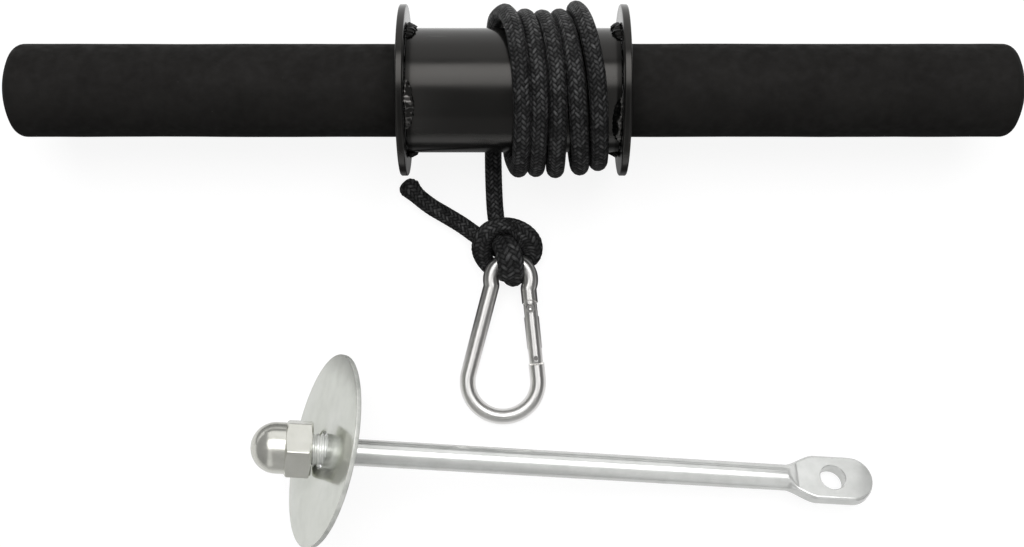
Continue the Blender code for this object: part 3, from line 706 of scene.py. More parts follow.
@dataclass
class Rope:
    """The rope: its stopper knot in the drum, its turns, its lead, its knot on the hook and its cut tail."""

    diameter: float = 0.0073
    bar_y: float = 0.0760
    bar_z: float = 0.0350
    spacing: float = 0.00050
    sides: int = 36
    squeeze: float = 0.95
    frayed: float = 0.009
    turn_step: float = 9.0
    # Turn angle, 0 under the drum and 90 on its far side; place along the bar; radius of the rope's middle
    turns: Points = (
        (-14.0, -0.0087, 0.0297), (0.0, -0.0087, 0.0293), (45.0, -0.0087, 0.0294), (80.0, -0.0070, 0.0305),
        (100.0, -0.0036, 0.0316), (130.0, 0.0000, 0.0306), (165.0, 0.0026, 0.0295), (203.5, 0.0037, 0.0294),
        (240.0, 0.0032, 0.0308), (266.0, 0.0025, 0.0321), (285.0, 0.0014, 0.0319), (303.0, -0.0004, 0.0311),
        (325.0, -0.0013, 0.0299), (350.0, -0.0012, 0.0293), (380.0, -0.0002, 0.0292),
        (410.0, 0.0012, 0.0292), (435.0, 0.0028, 0.0294), (460.0, 0.0046, 0.0296), (500.0, 0.0078, 0.0293),
        (535.0, 0.0098, 0.0293), (563.5, 0.0104, 0.0294), (600.0, 0.0097, 0.0308), (626.0, 0.0092, 0.0320),
        (670.0, 0.0090, 0.0308), (720.0, 0.0092, 0.0293), (770.0, 0.0100, 0.0292), (820.0, 0.0116, 0.0292),
        (860.0, 0.0149, 0.0293), (895.0, 0.0171, 0.0293), (923.5, 0.0178, 0.0294), (960.0, 0.0174, 0.0312),
        (986.0, 0.0172, 0.0325), (1030.0, 0.0172, 0.0310), (1080.0, 0.0174, 0.0293),
        (1130.0, 0.0178, 0.0292), (1180.0, 0.0186, 0.0296), (1220.0, 0.0220, 0.0294),
        (1255.0, 0.0244, 0.0294), (1283.5, 0.0254, 0.0294), (1320.0, 0.0268, 0.0304),
        (1346.0, 0.0274, 0.0313), (1390.0, 0.0266, 0.0304), (1440.0, 0.0252, 0.0293),
        (1490.0, 0.0248, 0.0304), (1540.0, 0.0254, 0.0328), (1580.0, 0.0296, 0.0309),
        (1615.0, 0.0326, 0.0295), (1643.5, 0.0338, 0.0294), (1680.0, 0.0346, 0.0294),
        (1706.0, 0.0349, 0.0294), (1740.0, 0.0346, 0.0293), (1765.0, 0.0341, 0.0292),
    )
    into_drum: Points = (
        (0.0339, 0.0662, 0.0079), (0.0339, 0.0674, 0.0105), (0.0339, 0.0688, 0.0148),
    )
    # The free stretch, from the winding along the floor and through the knot to the cut end
    route: Points = (
        (-0.0087, 0.0550, 0.0044), (-0.0087, 0.0495, 0.0039), (-0.0085, 0.0402, 0.0038),
        (-0.0081, 0.0311, 0.0038), (-0.0076, 0.0255, 0.0038), (-0.0070, 0.0212, 0.0041),
        (-0.0062, 0.0176, 0.0072), (-0.0052, 0.0142, 0.0130), (-0.0037, 0.0113, 0.0187),
        (-0.0024, 0.0074, 0.0209), (-0.0015, 0.0035, 0.0196), (-0.0009, 0.0002, 0.0156),
        (-0.0008, -0.0013, 0.0112), (-0.0017, -0.0009, 0.0069), (-0.0044, 0.0004, 0.0042),
        (-0.0086, 0.0026, 0.0038), (-0.0123, 0.0061, 0.0052), (-0.0141, 0.0107, 0.0094),
        (-0.0134, 0.0158, 0.0134), (-0.0104, 0.0194, 0.0147), (-0.0055, 0.0211, 0.0148),
        (0.0000, 0.0209, 0.0132), (0.0052, 0.0188, 0.0116), (0.0084, 0.0150, 0.0096),
        (0.0092, 0.0109, 0.0070), (0.0075, 0.0073, 0.0048), (0.0033, 0.0063, 0.0038),
        (-0.0021, 0.0084, 0.0038), (-0.0080, 0.0119, 0.0038), (-0.0153, 0.0168, 0.0038),
        (-0.0222, 0.0217, 0.0038), (-0.0291, 0.0259, 0.0038), (-0.0352, 0.0295, 0.0038),
        (-0.0406, 0.0336, 0.0038), (-0.0452, 0.0381, 0.0038), (-0.0472, 0.0403, 0.0038),
    )
    # Where the knot presses the rope: its width and thickness as shares, and its shift along its width
    pressed: tuple[tuple[int, Point], ...] = (
        (6, (1.1, 0.95, 0.0)), (7, (1.3, 0.9, 0.0)), (8, (1.5, 0.82, -0.0006)), (9, (1.62, 0.76, -0.0008)),
        (10, (1.6, 0.76, -0.0005)), (11, (1.6, 0.74, 0.0002)), (12, (1.5, 0.64, 0.0003)),
        (13, (0.72, 1.3, 0.0006)), (14, (0.8, 1.1, 0.0005)), (16, (1.1, 0.95, 0.0003)),
        (17, (1.3, 0.92, 0.0007)), (18, (1.2, 0.92, 0.0006)), (19, (1.1, 0.95, 0.0003)),
        (21, (1.15, 0.92, 0.0006)), (22, (1.6, 0.84, 0.0024)), (23, (1.75, 0.78, 0.0027)),
        (24, (1.7, 0.8, 0.0025)), (25, (1.4, 0.84, 0.0014)),
    )
    knot: Pair = (5, 28)
    stopper_gap: float = 0.2
    stopper_points: int = 28
    stopper_sides: int = 16
    stopper_height: float = 0.6
    stopper_squeeze: float = 0.8

    def winding(self) -> np.ndarray:
        """The turns' points, from the drum's hole back to the lead."""
        given = np.array(self.turns)
        steps = np.arange(given[-1, 0], given[0, 0], -self.turn_step)
        turn = np.radians(steps)
        across, reach = (np.interp(steps, given[:, 0], given[:, column]) for column in (1, 2))
        return np.column_stack([across, self.bar_y + reach * np.sin(turn), self.bar_z - reach * np.cos(turn)])

    def line(self) -> np.ndarray:
        """The rope's middle line with its width, thickness and shift at each point."""
        wound = [(*point, 1.0, 1.0, 0.0) for point in (*reversed(self.into_drum), *self.winding().tolist())]
        pressed = dict(self.pressed)
        free = []
        for index, point in enumerate(self.route):
            width, thickness, inward = pressed.get(index, (1.0, 1.0, 0.0))
            tight = self.squeeze if self.knot[0] <= index <= self.knot[1] else 1.0
            free.append((*point, width * tight, thickness * tight, inward))
        return smooth_route([*wound, *free], self.spacing)

    def build(self, braid: BraidFinish) -> None:
        finish = braid.build()
        line = self.line()
        skin = RopeSkin(line, self.diameter / 2, self.sides, braid, frayed=self.frayed)
        piece = skin.build()
        nodes = ("rope_winding", "rope_line", "rope_in_drum_wall")
        mount(piece, "rope", Body.ROLLER, Slot.ROPE, finish, *nodes, angle=80)
        stopper = self.stopper(braid, finish)
        length = float(distances(line)[-1])
        LOG.info("the rope is %.3f m long", length)
        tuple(self.into_drum[0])
        [tuple(map(float, point)) for point in skin.middles]

    def stopper(self, braid: BraidFinish, finish: Material) -> Object:
        """The overhand knot that holds the rope's inner end in the drum."""
        low, high = corners("rope_stopper_knot")
        middle, reach = (low + high) / 2, min(high - low) / 2 - self.diameter / 2
        loop, tight = [], self.stopper_squeeze
        for t in np.linspace(self.stopper_gap, math.tau - self.stopper_gap, self.stopper_points):
            x, y = math.sin(t) + 2 * math.sin(2 * t), math.cos(t) - 2 * math.cos(2 * t)
            place = middle + reach * Vector((x / 3, y / 3, -self.stopper_height * math.sin(3 * t)))
            loop.append((*place, tight, tight, 0.0))
        line = smooth_route(loop, 2 * self.spacing)
        piece = RopeSkin(line, self.diameter / 2, self.stopper_sides, braid).build()
        mount(piece, "rope_stopper", Body.ROLLER, Slot.ROPE, finish, "rope_stopper_knot", angle=80)
        return piece


# Roller


@dataclass
class GripFoam:
    """A foam sleeve with a closed, domed end, a little uneven along its length."""

    side: int
    length: float = 0.1619
    radius: float = 0.0190
    dome_radius: float = 0.035
    corner_radius: float = 0.0050
    lip_radius: float = 0.0016
    bore_radius: float = 0.0130
    end_wall: float = 0.009
    unevenness: float = 0.00014
    bumps_per_metre: float = 26
    steps: int = 72

    def outline(self) -> list[Pair]:
        """The sleeve's outline from the dome's middle to the open end, and up the bore."""
        low = self.length - self.dome_radius
        corner_x = self.radius - self.corner_radius
        corner_y = low + math.sqrt((self.dome_radius - self.corner_radius) ** 2 - corner_x**2)
        meet = math.degrees(math.atan2(corner_y - low, corner_x))
        dome = [(0.0, self.length), *arc((0, low), self.dome_radius, 90, meet, 12)[1:]]
        corner = arc((corner_x, corner_y), self.corner_radius, meet, 0, 9)[1:]
        straight = [(self.radius, float(at)) for at in np.linspace(corner_y, self.lip_radius, 40)[1:-1]]
        lip = arc((self.radius - self.lip_radius, self.lip_radius), self.lip_radius, 0, -90, 6)
        top = self.length - self.end_wall
        return [*dome, *corner, *straight, *lip, (self.bore_radius, 0.0), (self.bore_radius, top), (0.0, top)]

    def build(self, finish: Material) -> None:
        """Turn the sleeve, make it uneven and seat it on its tube."""
        node = "grip_right" if self.side > 0 else "grip_left"
        low, high = corners(node)
        piece = spun(self.outline(), self.steps)
        for point in piece.data.vertices:
            out = Vector((point.co.x, point.co.y, 0))
            if out.length > self.bore_radius + STEP:
                place = (point.co + Vector((self.side, 0, 0))) * self.bumps_per_metre
                point.co += out.normalized() * noise.fractal(place, 0.8, 2.0, 3) * self.unevenness
        middle = (low + high) / 2
        inner_end = (low.x if self.side > 0 else high.x, middle.y, middle.z)
        settle(piece, Matrix.Translation(inner_end) @ turned(90 * self.side, "Y"))
        mount(piece, f"foam_{node}", Body.ROLLER, Slot.FOAM, finish, node, angle=50)


@dataclass
class SteelRing:
    """A turned steel ring on the bar: the drum's shell or a flange."""

    node: str
    bore: float
    edge: float
    steps: int = 144

    def build(self) -> Object:
        """Turn the ring with rounded edges and seat it on the bar."""
        low, high = corners(self.node)
        outer, half = (high.z - low.z) / 2, (high.x - low.x) / 2
        piece = washer(outer, self.bore, half, (self.edge, self.edge), self.steps)
        return settle(piece, Matrix.Translation((low + high) / 2) @ turned(90, "Y"))


@dataclass
class WeldBead:
    """A fillet weld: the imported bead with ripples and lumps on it."""

    node: str
    ripple: float = 0.00022
    ripple_angle: float = 4.2
    lump: float = 0.00060
    lumps_per_metre: float = 330
    sunk: float = 0.00030

    def build(self, finish: Material) -> None:
        """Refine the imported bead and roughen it."""
        piece = copy_of_node(self.node)
        finish_with(piece, "SUBSURF", levels=4, render_levels=4)
        low, high = corners("drum")
        middle = (low + high) / 2
        for point in piece.data.vertices:
            out = Vector((0, point.co.y - middle.y, point.co.z - middle.z))
            turn = math.degrees(math.atan2(out.y, out.z))
            wave = 1 - abs(math.sin(math.pi * turn / self.ripple_angle)) ** 0.7
            lumps = noise.noise(point.co * self.lumps_per_metre)
            inwards = Vector((-math.copysign(1, point.co.x), 0, 0))
            point.co += (out.normalized() + inwards) * (wave * self.ripple + lumps * self.lump - self.sunk)
        mount(piece, self.node.replace("weld", "bead"), Body.ROLLER, Slot.WELD, finish, self.node, angle=70)


@dataclass
class Roller:
    """The welded bar: drum, flanges and tubes, its welds and its grips."""

    drum_bore: float = 0.0234
    flange_bore: float = 0.0130
    drum_edge: float = 0.0003
    flange_edge: float = 0.0006
    rope_hole: Point = (0.0339, 0.0661, 0.0077)
    hole_radius: float = 0.00425
    hole_ends: Pair = (0.019, 0.030)
    welds_a_side: int = 4
    top_weld: int = 1
    # Darker than the enamel: painted shade of the crease where drum and flange meet
    weld_colour: Colour = (0.004, 0.004, 0.0038)

    def build(self) -> None:
        """Make the steel, the welds and the grips."""
        enamel = EnamelFinish().build("black_enamel")
        drum = SteelRing("drum", self.drum_bore, self.drum_edge).build()
        self.drill(drum)
        mount(drum, "drum_shell", Body.ROLLER, Slot.ENAMEL, enamel, "drum")
        # The beads' enamel carries the painted shade of the crease in its darker colour
        bead = EnamelFinish(self.weld_colour, roughness=0.20, peel=0.00003, gloss=0.08).build("weld_enamel")
        wet_bead = EnamelFinish(self.weld_colour, roughness=0.09, peel=0.00004, gloss=1.0).build("wet_enamel")
        foam = FoamFinish().build()
        for side, sign in (("left", -1), ("right", 1)):
            flange = SteelRing(f"flange_{side}", self.flange_bore, self.flange_edge).build()
            mount(flange, f"flange_plate_{side}", Body.ROLLER, Slot.ENAMEL, enamel, f"flange_{side}")
            dress_node(f"handle_tube_{side}", enamel)
            for number in range(1, self.welds_a_side + 1):
                WeldBead(f"weld_{side}_{number}").build(wet_bead if number == self.top_weld else bead)
            GripFoam(sign).build(foam)

    def drill(self, drum: Object) -> None:
        """Drill the rope's hole through the drum's wall."""
        low, high = corners("drum")
        hole = Vector(self.rope_hole)
        axis = Vector((hole.x, *((low + high) / 2).yz))
        drill = rod(self.hole_radius, *self.hole_ends, DRILL_EDGE)
        combine(drum, settle(drill, Matrix.Translation(axis) @ aimed(hole - axis)))


# Snap hook


@dataclass
class SnapHook:
    """The bent wire hook and its sprung gate, made flat in the hook's own frame."""

    wire_radius: float = 0.0034
    eye_radius: float = 0.0084
    end_radius: float = 0.0152
    centres: float = 0.0446
    neck: Pair = (0.0081, -0.0126)
    neck_bend: float = 0.0020
    rivet_from_neck: float = 0.00685
    gate_radius: float = 0.0032
    gate_reach: float = 0.02435
    gate_edge: float = 0.00025
    shoulder_half: float = 0.006
    nose_gap: float = 0.0006
    tongue: Pair = (0.0029, 0.0022)
    slot_half: float = 0.0014
    hinge_slot: float = 0.0046
    hinge_sunk: float = 0.0012
    latch_slot: float = 0.0062
    pin_from_end: float = 0.0023
    pin_radius: float = 0.0008
    pin_gap: float = 0.0003
    latch_head: float = 0.0016
    swing_gap: float = 0.00035
    rivet_hole: float = 0.0016
    rivet_radii: Pair = (0.0019, 0.0013)
    rivet_head: float = 0.0007
    rivet_gap: float = 0.0003
    rivet_round: float = 0.38
    # The dimple in a rivet's head: share of the head's radius, and depth
    dimple: Pairs = ((0.0, 0.00030), (0.28, 0.00022), (0.42, 0.0))
    drill_reach: float = 0.008
    spring_bore: Pair = (0.0016, 0.0130)
    bore_edge: float = 0.0002
    place: Point = (-0.0006, 0.0064, 0.0124)
    lean: float = 4.3
    tilt: float = 7.58315
    sides: int = 40

    def frame(self) -> Matrix:
        """Where the hook's frame stands."""
        return Matrix.Translation(self.place) @ (turned(-self.lean, "Z") @ turned(self.tilt, "X"))

    def flare(self) -> float:
        """The angle of each straight side to the hook's long axis, in radians."""
        across, along = self.neck[0], self.neck[1] + self.eye_radius + self.centres
        return math.atan2(along, across) - math.acos(self.end_radius / math.hypot(across, along))

    def beside_neck(self, distance: float) -> Pair:
        """A point of the gate side's middle line, by its distance from the neck."""
        flare = self.flare()
        return (self.neck[0] + distance * math.sin(flare), self.neck[1] - distance * math.cos(flare))

    def pivot(self) -> Matrix:
        """The gate's frame in the hook's."""
        rivet = Matrix.Translation((*self.beside_neck(self.rivet_from_neck), 0))
        return rivet @ Matrix.Rotation(self.flare(), 4, "Z")

    def neck_turn(self) -> Pair:
        """Where each neck's bend starts, from the neck's point, and the angle on the eye where it ends."""
        flare = self.flare()
        along = Vector((-math.sin(flare), math.cos(flare)))
        outward = Vector((math.cos(flare), math.sin(flare)))
        start = Vector(self.neck) - Vector((0, -self.eye_radius)) + outward * self.neck_bend
        half = start.dot(along)
        back = -half - math.sqrt(half**2 - start.length_squared + (self.eye_radius + self.neck_bend) ** 2)
        centre = start + along * back
        return back, math.degrees(math.atan2(centre.y, centre.x))

    def line(self) -> list[Pair]:
        """The wire's middle line from its nose, round the wide end and the eye, to the hinge."""
        flare = math.degrees(self.flare())
        back, eye_angle = self.neck_turn()
        nose = self.beside_neck(self.rivet_from_neck + self.gate_reach + self.nose_gap)
        hinge = self.beside_neck(self.rivet_from_neck - self.gate_radius / 2)
        wide = arc((0, -self.eye_radius - self.centres), self.end_radius, flare, -180 - flare, 49)
        eye = arc((0, -self.eye_radius), self.eye_radius, 180 - eye_angle, eye_angle, 49)
        x, y = self.beside_neck(-back)
        bend_x = x + math.cos(math.radians(flare)) * self.neck_bend
        bend_y = y + math.sin(math.radians(flare)) * self.neck_bend
        right = arc((bend_x, bend_y), self.neck_bend, 180 + eye_angle, 180 + flare, 9)
        left = [(-x, y) for x, y in reversed(right)]
        return [nose, *wide, *left, *eye[1:-1], *right, hinge]

    def bent_wire(self) -> Object:
        """The round wire along its line."""
        line = np.array([(*point, 0.0) for point in self.line()])
        ahead, steps = np.gradient(line, axis=0), unit(np.diff(line, axis=0))
        ahead[1:-1] = steps[1:] + steps[:-1]
        up = np.array([(0.0, 0.0, 1.0)])
        rings = self.wire_radius * spokes(self.sides, np.cross(unit(ahead), up), up)
        return skinned(list(line[:, None] + rings))

    def tongues(self) -> tuple[list[Pair], list[Pair]]:
        """The outlines of the hinge's tongue and of the notched latch tongue, in the gate's frame."""
        edge = self.tongue[0]
        hinge_root = self.rivet_from_neck - self.hinge_sunk
        hinge = [(-edge, hinge_root), (edge, hinge_root), *arc((0, 0), edge, 0, -180, 17)]
        root = -(self.gate_reach + self.nose_gap + self.wire_radius / 2)
        pin = self.pin_from_end - self.gate_reach
        below, above = pin - self.pin_radius - self.swing_gap, pin + self.pin_radius + 2 * self.swing_gap
        top, deep = above + self.latch_head, self.pin_radius + self.swing_gap
        latch = [(-edge, root), (edge, root), (edge, top), (-edge, top)]
        notch = [(-edge, above), (deep, above), (deep, below), (-edge, below)]
        return hinge, [*latch, *notch]

    def body(self) -> Object:
        """The wire with its hollow shoulder, its two tongues and its rivet hole."""
        piece, pivot = self.bent_wire(), self.pivot()
        half = self.shoulder_half
        combine(piece, settle(rod(self.gate_radius + self.swing_gap, -half, half, DRILL_EDGE, 64), pivot))
        for outline in self.tongues():
            combine(piece, settle(plate(outline, self.tongue[1]), pivot), "UNION")
        self.drill(piece, self.rivet_hole, pivot)
        return piece

    def drill(self, piece: Object, radius: float, place: Matrix) -> None:
        """Drill a hole along Z through a piece."""
        combine(piece, settle(rod(radius, -self.drill_reach, self.drill_reach, DRILL_EDGE, 32), place))

    def rivet(self) -> Object:
        """The rivet, whose heads are set with a shallow dimple."""
        head, shank = self.rivet_radii
        flat = self.gate_radius + self.rivet_gap
        top = flat + self.rivet_head
        middle = (head * (1 - self.rivet_round), flat + self.rivet_head / 4)
        edge = [(x, min(y, top)) for x, y in arc(middle, head * self.rivet_round, 60, 0, 5)]
        dimple = [(head * share, top - depth) for share, depth in self.dimple]
        return spun(mirrored([*dimple, *edge, (head, flat), (shank, flat)]), 40)

    def gate(self) -> Object:
        """The round gate with its rounded hub, a slot at each end and the spring's bore."""
        radius, side, reach = self.gate_radius, 2 * self.gate_radius, self.gate_reach
        along = turned(-90, "X")
        piece = settle(rod(radius, -reach, radius + STEP, self.gate_edge), along)
        far = -2 * reach
        hub = [*arc((0, 0), radius, 0, 180, 25), (-side, 0), (-side, far), (side, far), (side, 0)]
        combine(piece, plate(hub, 4 * radius), "INTERSECT")
        for low, high in ((-self.hinge_slot, side), (far, self.latch_slot - reach)):
            slot = [(-side, low), (side, low), (side, high), (-side, high)]
            combine(piece, plate(slot, 2 * self.slot_half))
        bore, depth = self.spring_bore
        mouth, end = self.slot_half - self.hinge_slot, -self.hinge_slot - depth
        combine(piece, settle(rod(bore, end, mouth, self.bore_edge, 32), along))
        self.drill(piece, self.rivet_hole, Matrix.Identity(4))
        latch = Matrix.Translation((0, self.pin_from_end - reach, 0))
        self.drill(piece, self.pin_radius + self.pin_gap, latch)
        return piece

    def build(self) -> None:
        """Make the hook, its rivet and its gate, and dress the spring's pieces."""
        nickel, drawn = BRIGHT_NICKEL.build("bright_nickel"), DRAWN_NICKEL.build("drawn_nickel")
        place, gate_place = self.frame(), self.frame() @ self.pivot()
        body = settle(self.body(), place)
        mount(body, "hook_wire", Body.HOOK, Slot.BRIGHT, drawn, "snap_hook_body")
        rivet = settle(self.rivet(), gate_place)
        mount(rivet, "hook_rivet", Body.HOOK, Slot.BRIGHT, nickel, "gate_rivet")
        gate = settle(self.gate(), gate_place)
        mount(gate, "hook_gate", Body.GATE, Slot.BRIGHT, drawn, "snap_hook_gate")
        dress_node("gate_latch_pin", nickel)
        spring = SPRING_WIRE.build("spring_wire")
        dress_node("gate_plunger", spring)
        dress_node("gate_spring", spring)


# Loading pin


@dataclass
class LoadingPin:
    """The threaded rod with its forged eye, the loose disc and the acorn nut."""

    middle: Point = (-0.0778, -0.071762, 0.037287)
    ahead: Point = (0.988835, -0.074351, -0.129141)
    eye_face: Point = (0.148495, 0.564030, 0.812293)
    disc_face: Point = (0.897048, -0.215363, -0.385906)
    rod_radius: float = 0.0055
    thread_radii: Pair = (0.00695, 0.00585)
    pitch: float = 0.0020
    thread_ends: Pair = (-0.02064, 0.0100)
    thread_start: float = 0.0006
    ridge: Pair = (1.35, 3.2)
    rings_a_pitch: int = 10
    run_out_bend: float = 0.7
    shoulder: float = 0.0030
    eye_from_disc: float = 0.2162
    eye_to_tip: float = 0.0175
    eye_half: Pair = (0.0103, 0.0030)
    eye_corner: float = 0.0092
    eye_edge: float = 0.0014
    eye_flat: float = 0.0330
    eye_taper: float = 0.0052
    eye_spread: float = 0.0135
    taper_end: float = 2.6
    taper_rings: int = 32
    tip_rings: int = 15
    tip_angle: float = 84
    eye_hole: float = 0.0055
    hole_edge: float = 0.0004
    cutter: Pair = (0.003, 0.006)
    disc_radius: float = 0.040
    disc_half: float = 0.0010
    disc_edge: float = 0.0004
    disc_bore: float = 0.0078
    cut_face: float = 0.85
    nut_from_disc: float = 0.00464
    nut_flats: float = 0.022
    nut_height: float = 0.011
    nut_length: float = 0.025
    nut_dome: float = 0.0105
    nut_face: float = 0.0103
    nut_drop: float = 0.0014
    nut_edge: float = 0.0004
    nut_bore: float = 0.00725
    nut_depth: float = 0.0166
    around: int = 72

    def axis(self) -> Matrix:
        """The frame at the disc's middle whose Z runs to the eye."""
        return Matrix.Translation(self.middle) @ aimed(self.ahead)

    def rolled(self) -> Matrix:
        """The frame at the disc's middle whose Z runs to the eye and whose Y is square to the eye's face."""
        ahead, face = Vector(self.ahead), Vector(self.eye_face)
        turn = Matrix((face.cross(ahead), face, ahead)).transposed().to_4x4()
        return Matrix.Translation(self.middle) @ turn

    def bearings(self) -> np.ndarray:
        """The angle of each point of a ring."""
        return np.linspace(0, math.tau, self.around, endpoint=False) + math.pi / self.around

    def section(self, height: float, half: Pair, corner: float) -> np.ndarray:
        """A ring across the rod: a bar with rounded corners, or a circle where all sizes are equal."""
        turn = self.bearings()
        x = np.copysign(half[0] - corner, np.cos(turn)) + corner * np.cos(turn)
        y = np.copysign(half[1] - corner, np.sin(turn)) + corner * np.sin(turn)
        return np.column_stack([x, y, np.full(self.around, height)])

    def thread(self) -> list[np.ndarray]:
        """Rings of the thread, whose ridge climbs one pitch a turn and runs out at the shoulder."""
        crest, root = self.thread_radii
        start, end = self.thread_ends
        turn = self.bearings()
        rings = []
        full, steepness = self.ridge
        for height in np.arange(start, end + self.shoulder, self.pitch / self.rings_a_pitch):
            place = (height / self.pitch - turn / math.tau) % 1.0
            ridge = np.clip(full - np.abs(place - 0.5) * steepness, 0, 1)
            limit = min(crest, root - self.thread_start + max(height - start, 0.0))
            run_out = max(0.0, (height - end) / self.shoulder)
            radius = np.minimum(root + (crest - root) * ridge, limit)
            radius = radius + (self.rod_radius - radius) * min(1.0, run_out) ** self.run_out_bend
            level = np.full(self.around, height)
            rings.append(np.column_stack([radius * np.cos(turn), radius * np.sin(turn), level]))
        return rings

    def eye_rings(self) -> list[np.ndarray]:
        """Rings from the plain rod through the taper and the flat to the eye's round tip."""
        plain, (wide, thick) = self.rod_radius, self.eye_half
        tip = self.eye_from_disc + self.eye_to_tip
        spread_start = tip - self.eye_flat - self.eye_taper
        rings = [self.section(spread_start * k / 6, (plain, plain), plain) for k in range(1, 6)]
        rings = [ring for ring in rings if ring[0, 2] > self.thread_ends[1] + self.shoulder]
        for share in np.linspace(0.0, self.taper_end, self.taper_rings):
            flat = self.ease(min(share, 1.0))
            spread = self.ease(min(share * self.eye_taper / self.eye_spread, 1.0))
            half = (plain + (wide - plain) * spread, plain + (thick - plain) * flat)
            corner = plain + (self.eye_edge - plain) * flat
            rings.append(self.section(spread_start + self.eye_taper * share, half, corner))
        for angle in np.radians(np.linspace(0, self.tip_angle, self.tip_rings)):
            half_w = wide - self.eye_corner * (1 - math.cos(angle))
            height = tip - self.eye_corner * (1 - math.sin(angle))
            rings.append(self.section(height, (half_w, thick), self.eye_edge))
        return rings

    @staticmethod
    def ease(share: float) -> float:
        """A smooth rise from 0 to 1, level at both ends."""
        return share * share * (3 - 2 * share)

    def rod(self) -> Object:
        """The rod with its thread and its drilled eye."""
        piece = skinned([*self.thread(), *self.eye_rings()])
        hole, edge, reach = self.eye_hole, self.hole_edge, self.eye_half[1]
        flare, end = self.cutter
        upper = [(0.0, end), (hole + flare + edge, end), (hole + edge, reach), (hole, reach - edge)]
        drill = spun(mirrored(upper), 64)
        combine(piece, settle(drill, Matrix.Translation((0, 0, self.eye_from_disc)) @ turned(90, "X")))
        return piece

    def nut(self) -> Object:
        """The acorn nut: a chamfered hexagon with softened corners, a polished dome and a blind bore."""
        lay_down_tools()
        wide, top, drop, face = self.nut_flats / math.sqrt(3), self.nut_height, self.nut_drop, self.nut_face
        bpy.ops.mesh.primitive_cylinder_add(vertices=6, radius=wide, depth=top, location=(0, 0, top / 2))
        piece = bpy.context.object
        bpy.ops.object.transform_apply()
        sharp = {"limit_method": "ANGLE", "angle_limit": math.radians(40)}
        finish_with(piece, "BEVEL", width=self.nut_edge, segments=3, **sharp)
        wide += self.nut_edge
        cone = [(0.0, top), (face, top), (wide, top - drop), (wide, drop), (face, 0.0), (0.0, 0.0)]
        combine(piece, spun(cone, 144), "INTERSECT")
        radius, ball = self.nut_dome, self.nut_length - self.nut_dome
        dome = [(0.0, self.nut_length), *arc((0, ball), radius, 90, 0, 24)[1:]]
        dome += [(radius, top / 2), (0.0, top / 2)]
        combine(piece, spun(dome, 96), "UNION")
        bore, depth = self.nut_bore, self.nut_depth
        combine(piece, spun([(0.0, depth), (bore, depth), (bore, -0.01), (0.0, -0.01)], 64))
        return piece

    def build(self) -> None:
        """Make the rod, the disc and the nut."""
        pin = settle(self.rod(), self.rolled())
        mount(pin, "pin_rod", Body.PIN, Slot.ZINC, ZINC_ROD.build("zinc_rod"), "loading_rod")
        edges = (self.disc_edge, self.disc_edge / 2)
        disc = washer(self.disc_radius, self.disc_bore, self.disc_half, edges, 180)
        settle(disc, Matrix.Translation(self.middle) @ aimed(self.disc_face))
        mount(disc, "pin_disc", Body.DISC, Slot.ZINC, ZINC_SHEET.build("zinc_sheet"), "weight_disc")
        disc.data.materials.append(ZINC_CUT.build("zinc_cut_edge"))
        for face in disc.data.polygons:
            face.material_index = int(abs(face.normal.dot(Vector(self.disc_face))) < self.cut_face)
        seat = Matrix.Translation((0, 0, -self.nut_from_disc)) @ turned(180, "X")
        nut = settle(self.nut(), self.axis() @ seat)
        mount(nut, "pin_nut", Body.NUT, Slot.ZINC, ZINC_NUT.build("zinc_nut"), "acorn_nut", angle=28)


# Studio


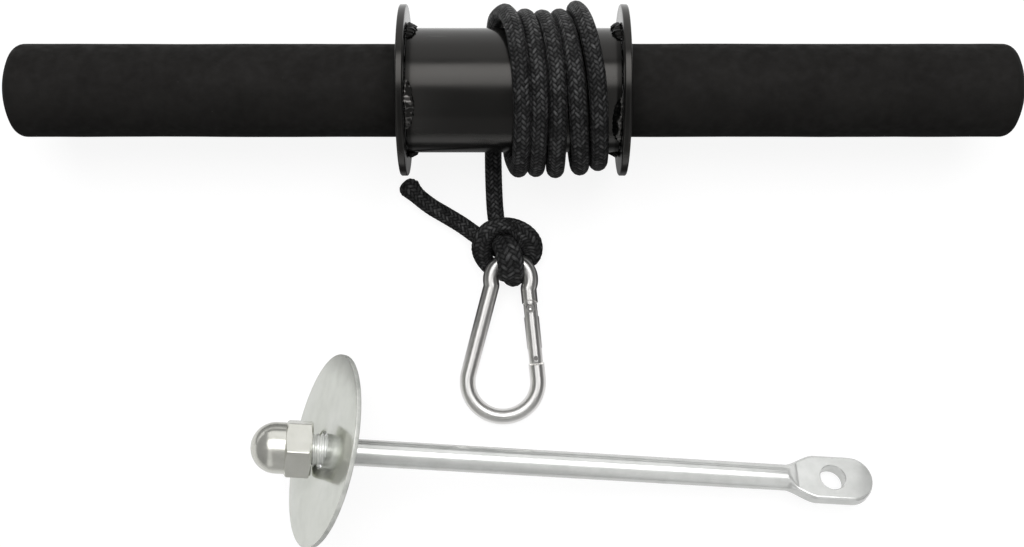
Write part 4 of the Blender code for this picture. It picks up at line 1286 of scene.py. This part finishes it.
@dataclass
class Studio:
    """A white floor under a room whose soft light is set by direction, and the camera above."""

    eye: Point = (-0.0006, 0.00076, 0.652)
    focal_pixels: float = 1500.0
    picture_width: float = 1024.0
    sensor: float = 36.0
    near_clip: float = 0.01
    floor_size: float = 6.0
    floor_tone: float = 0.22
    floor_lift: float = 0.87
    # How bright the floor is in mirrors, by its place along Y: painted shade darkens it under the bar, and it
    # dims further towards the near side
    painted_mirror_floor: Pairs = (
        (-0.60, 0.30), (-0.25, 0.50), (-0.130, 0.82), (-0.040, 0.80), (-0.018, 0.10), (0.010, 0.04),
        (0.022, 0.18), (0.050, 0.20), (0.110, 0.95), (0.250, 1.05),
    )
    # The room's light by the angle from the zenith in degrees, positive towards the far side. The far part is
    # the same all along; the near part is given in the room's middle and further out
    far_light: Pairs = (
        (1, 1.00), (4, 2.00), (8, 2.60), (14, 2.90), (24, 3.40), (36, 3.40), (41.5, 2.60), (45, 0.70),
        (49, 0.58), (53, 0.75), (58, 0.95), (90, 1.00),
    )
    middle_light: Pairs = (
        (-90, 0.33), (-60, 0.33), (-55, 0.22), (-12, 0.22), (-3, 0.35),
        *far_light,
    )
    side_light: Pairs = (
        (-90, 0.70), (-60, 0.70), (-55, 0.60), (-3, 0.60),
        *far_light,
    )
    middle_ends: Pair = (0.15, 0.25)
    side_ends: Pair = (0.46, 0.52)
    end_light: float = 0.14
    full: float = 3.4

    def build(self) -> None:
        """Set the camera, the floor and the room."""
        self.camera()
        self.floor()
        self.room()

    def camera(self) -> None:
        """The camera looks straight down at the photograph's distance."""
        lens = bpy.data.cameras.new("camera")
        lens.sensor_width = self.sensor
        lens.lens = self.focal_pixels / self.picture_width * self.sensor
        lens.clip_start = self.near_clip
        camera = bpy.data.objects.new("camera", lens)
        camera.location = self.eye
        bpy.context.scene.collection.objects.link(camera)
        bpy.context.scene.camera = camera

    def floor(self) -> None:
        """A white floor that still takes shadows, and carries painted shade under the bar where steel mirrors
        it.
        """
        lay_down_tools()
        bpy.ops.mesh.primitive_plane_add(size=self.floor_size, location=(0, 0, 0))
        floor = bpy.context.object
        floor.name = "floor"
        board = Board("floor")
        rays, place = board.add("LightPath"), board.add("SeparateXYZ", {0: board.add("TexCoord")["Object"]})
        glossy = rays["Is Glossy Ray"]
        near, far = self.painted_mirror_floor[0][0], self.painted_mirror_floor[-1][0]
        share = board.spread(place["Y"], 0.0, 1.0, near, far)
        stops = [((at - near) / (far - near), level) for at, level in self.painted_mirror_floor]
        # Painted shade in mirrors: for glossy rays the floor glows by this profile along Y instead of its own
        # shading
        painted_mirror_shade = board.times(glossy, board.profile(share, stops, self.painted_mirror_floor[-1][1]))
        seen = board.math("MAXIMUM", rays["Is Camera Ray"], rays["Is Transmission Ray"])
        finish = board.shade(
            Base_Color=board.tint(glossy, (self.floor_tone,) * 3, (0.0, 0.0, 0.0)),
            Emission_Color=(1.0, 1.0, 1.0),
            Emission_Strength=board.math("MAXIMUM", board.times(seen, self.floor_lift), painted_mirror_shade),
            Roughness=0.9,
            Specular_IOR_Level=0.0,
        )
        floor.data.materials.append(finish)

    def room(self) -> None:
        """The room's light by direction, white where the camera sees it."""
        world = bpy.data.worlds.new("studio")
        bpy.context.scene.world = world
        world.use_nodes = True
        sheet = Sheet(world.node_tree)
        place = sheet.add("SeparateXYZ", {0: sheet.add("TexCoord")["Generated"]})
        angle = sheet.math("ARCTAN2", place["Y"], place["Z"])
        share = sheet.spread(angle, 0.0, 1.0, -math.pi / 2, math.pi / 2)
        middle, side = (
            sheet.profile(share, [((at + 90) / 180, level) for at, level in light], self.full)
            for light in (self.middle_light, self.side_light)
        )
        out = sheet.math("ABSOLUTE", place["X"])
        light = sheet.spread(out, middle, side, *self.middle_ends, soft=True)
        light = sheet.spread(out, light, self.end_light, *self.side_ends, soft=True)
        seen = sheet.add("LightPath")["Is Camera Ray"]
        ground = world.node_tree.nodes["Background"].inputs
        sheet.feed(ground["Strength"], sheet.spread(seen, light, 1.0))
        sheet.feed(ground["Color"], (1.0, 1.0, 1.0))


def main() -> None:
    """Build the studio and the trainer."""
    logging.basicConfig(level=logging.INFO, format="%(message)s")
    bpy.context.scene.view_settings.view_transform = "Standard"
    Studio().build()
    Rope().build(BraidFinish())
    Roller().build()
    SnapHook().build()
    LoadingPin().build()


if __name__ == "__main__":
    main()
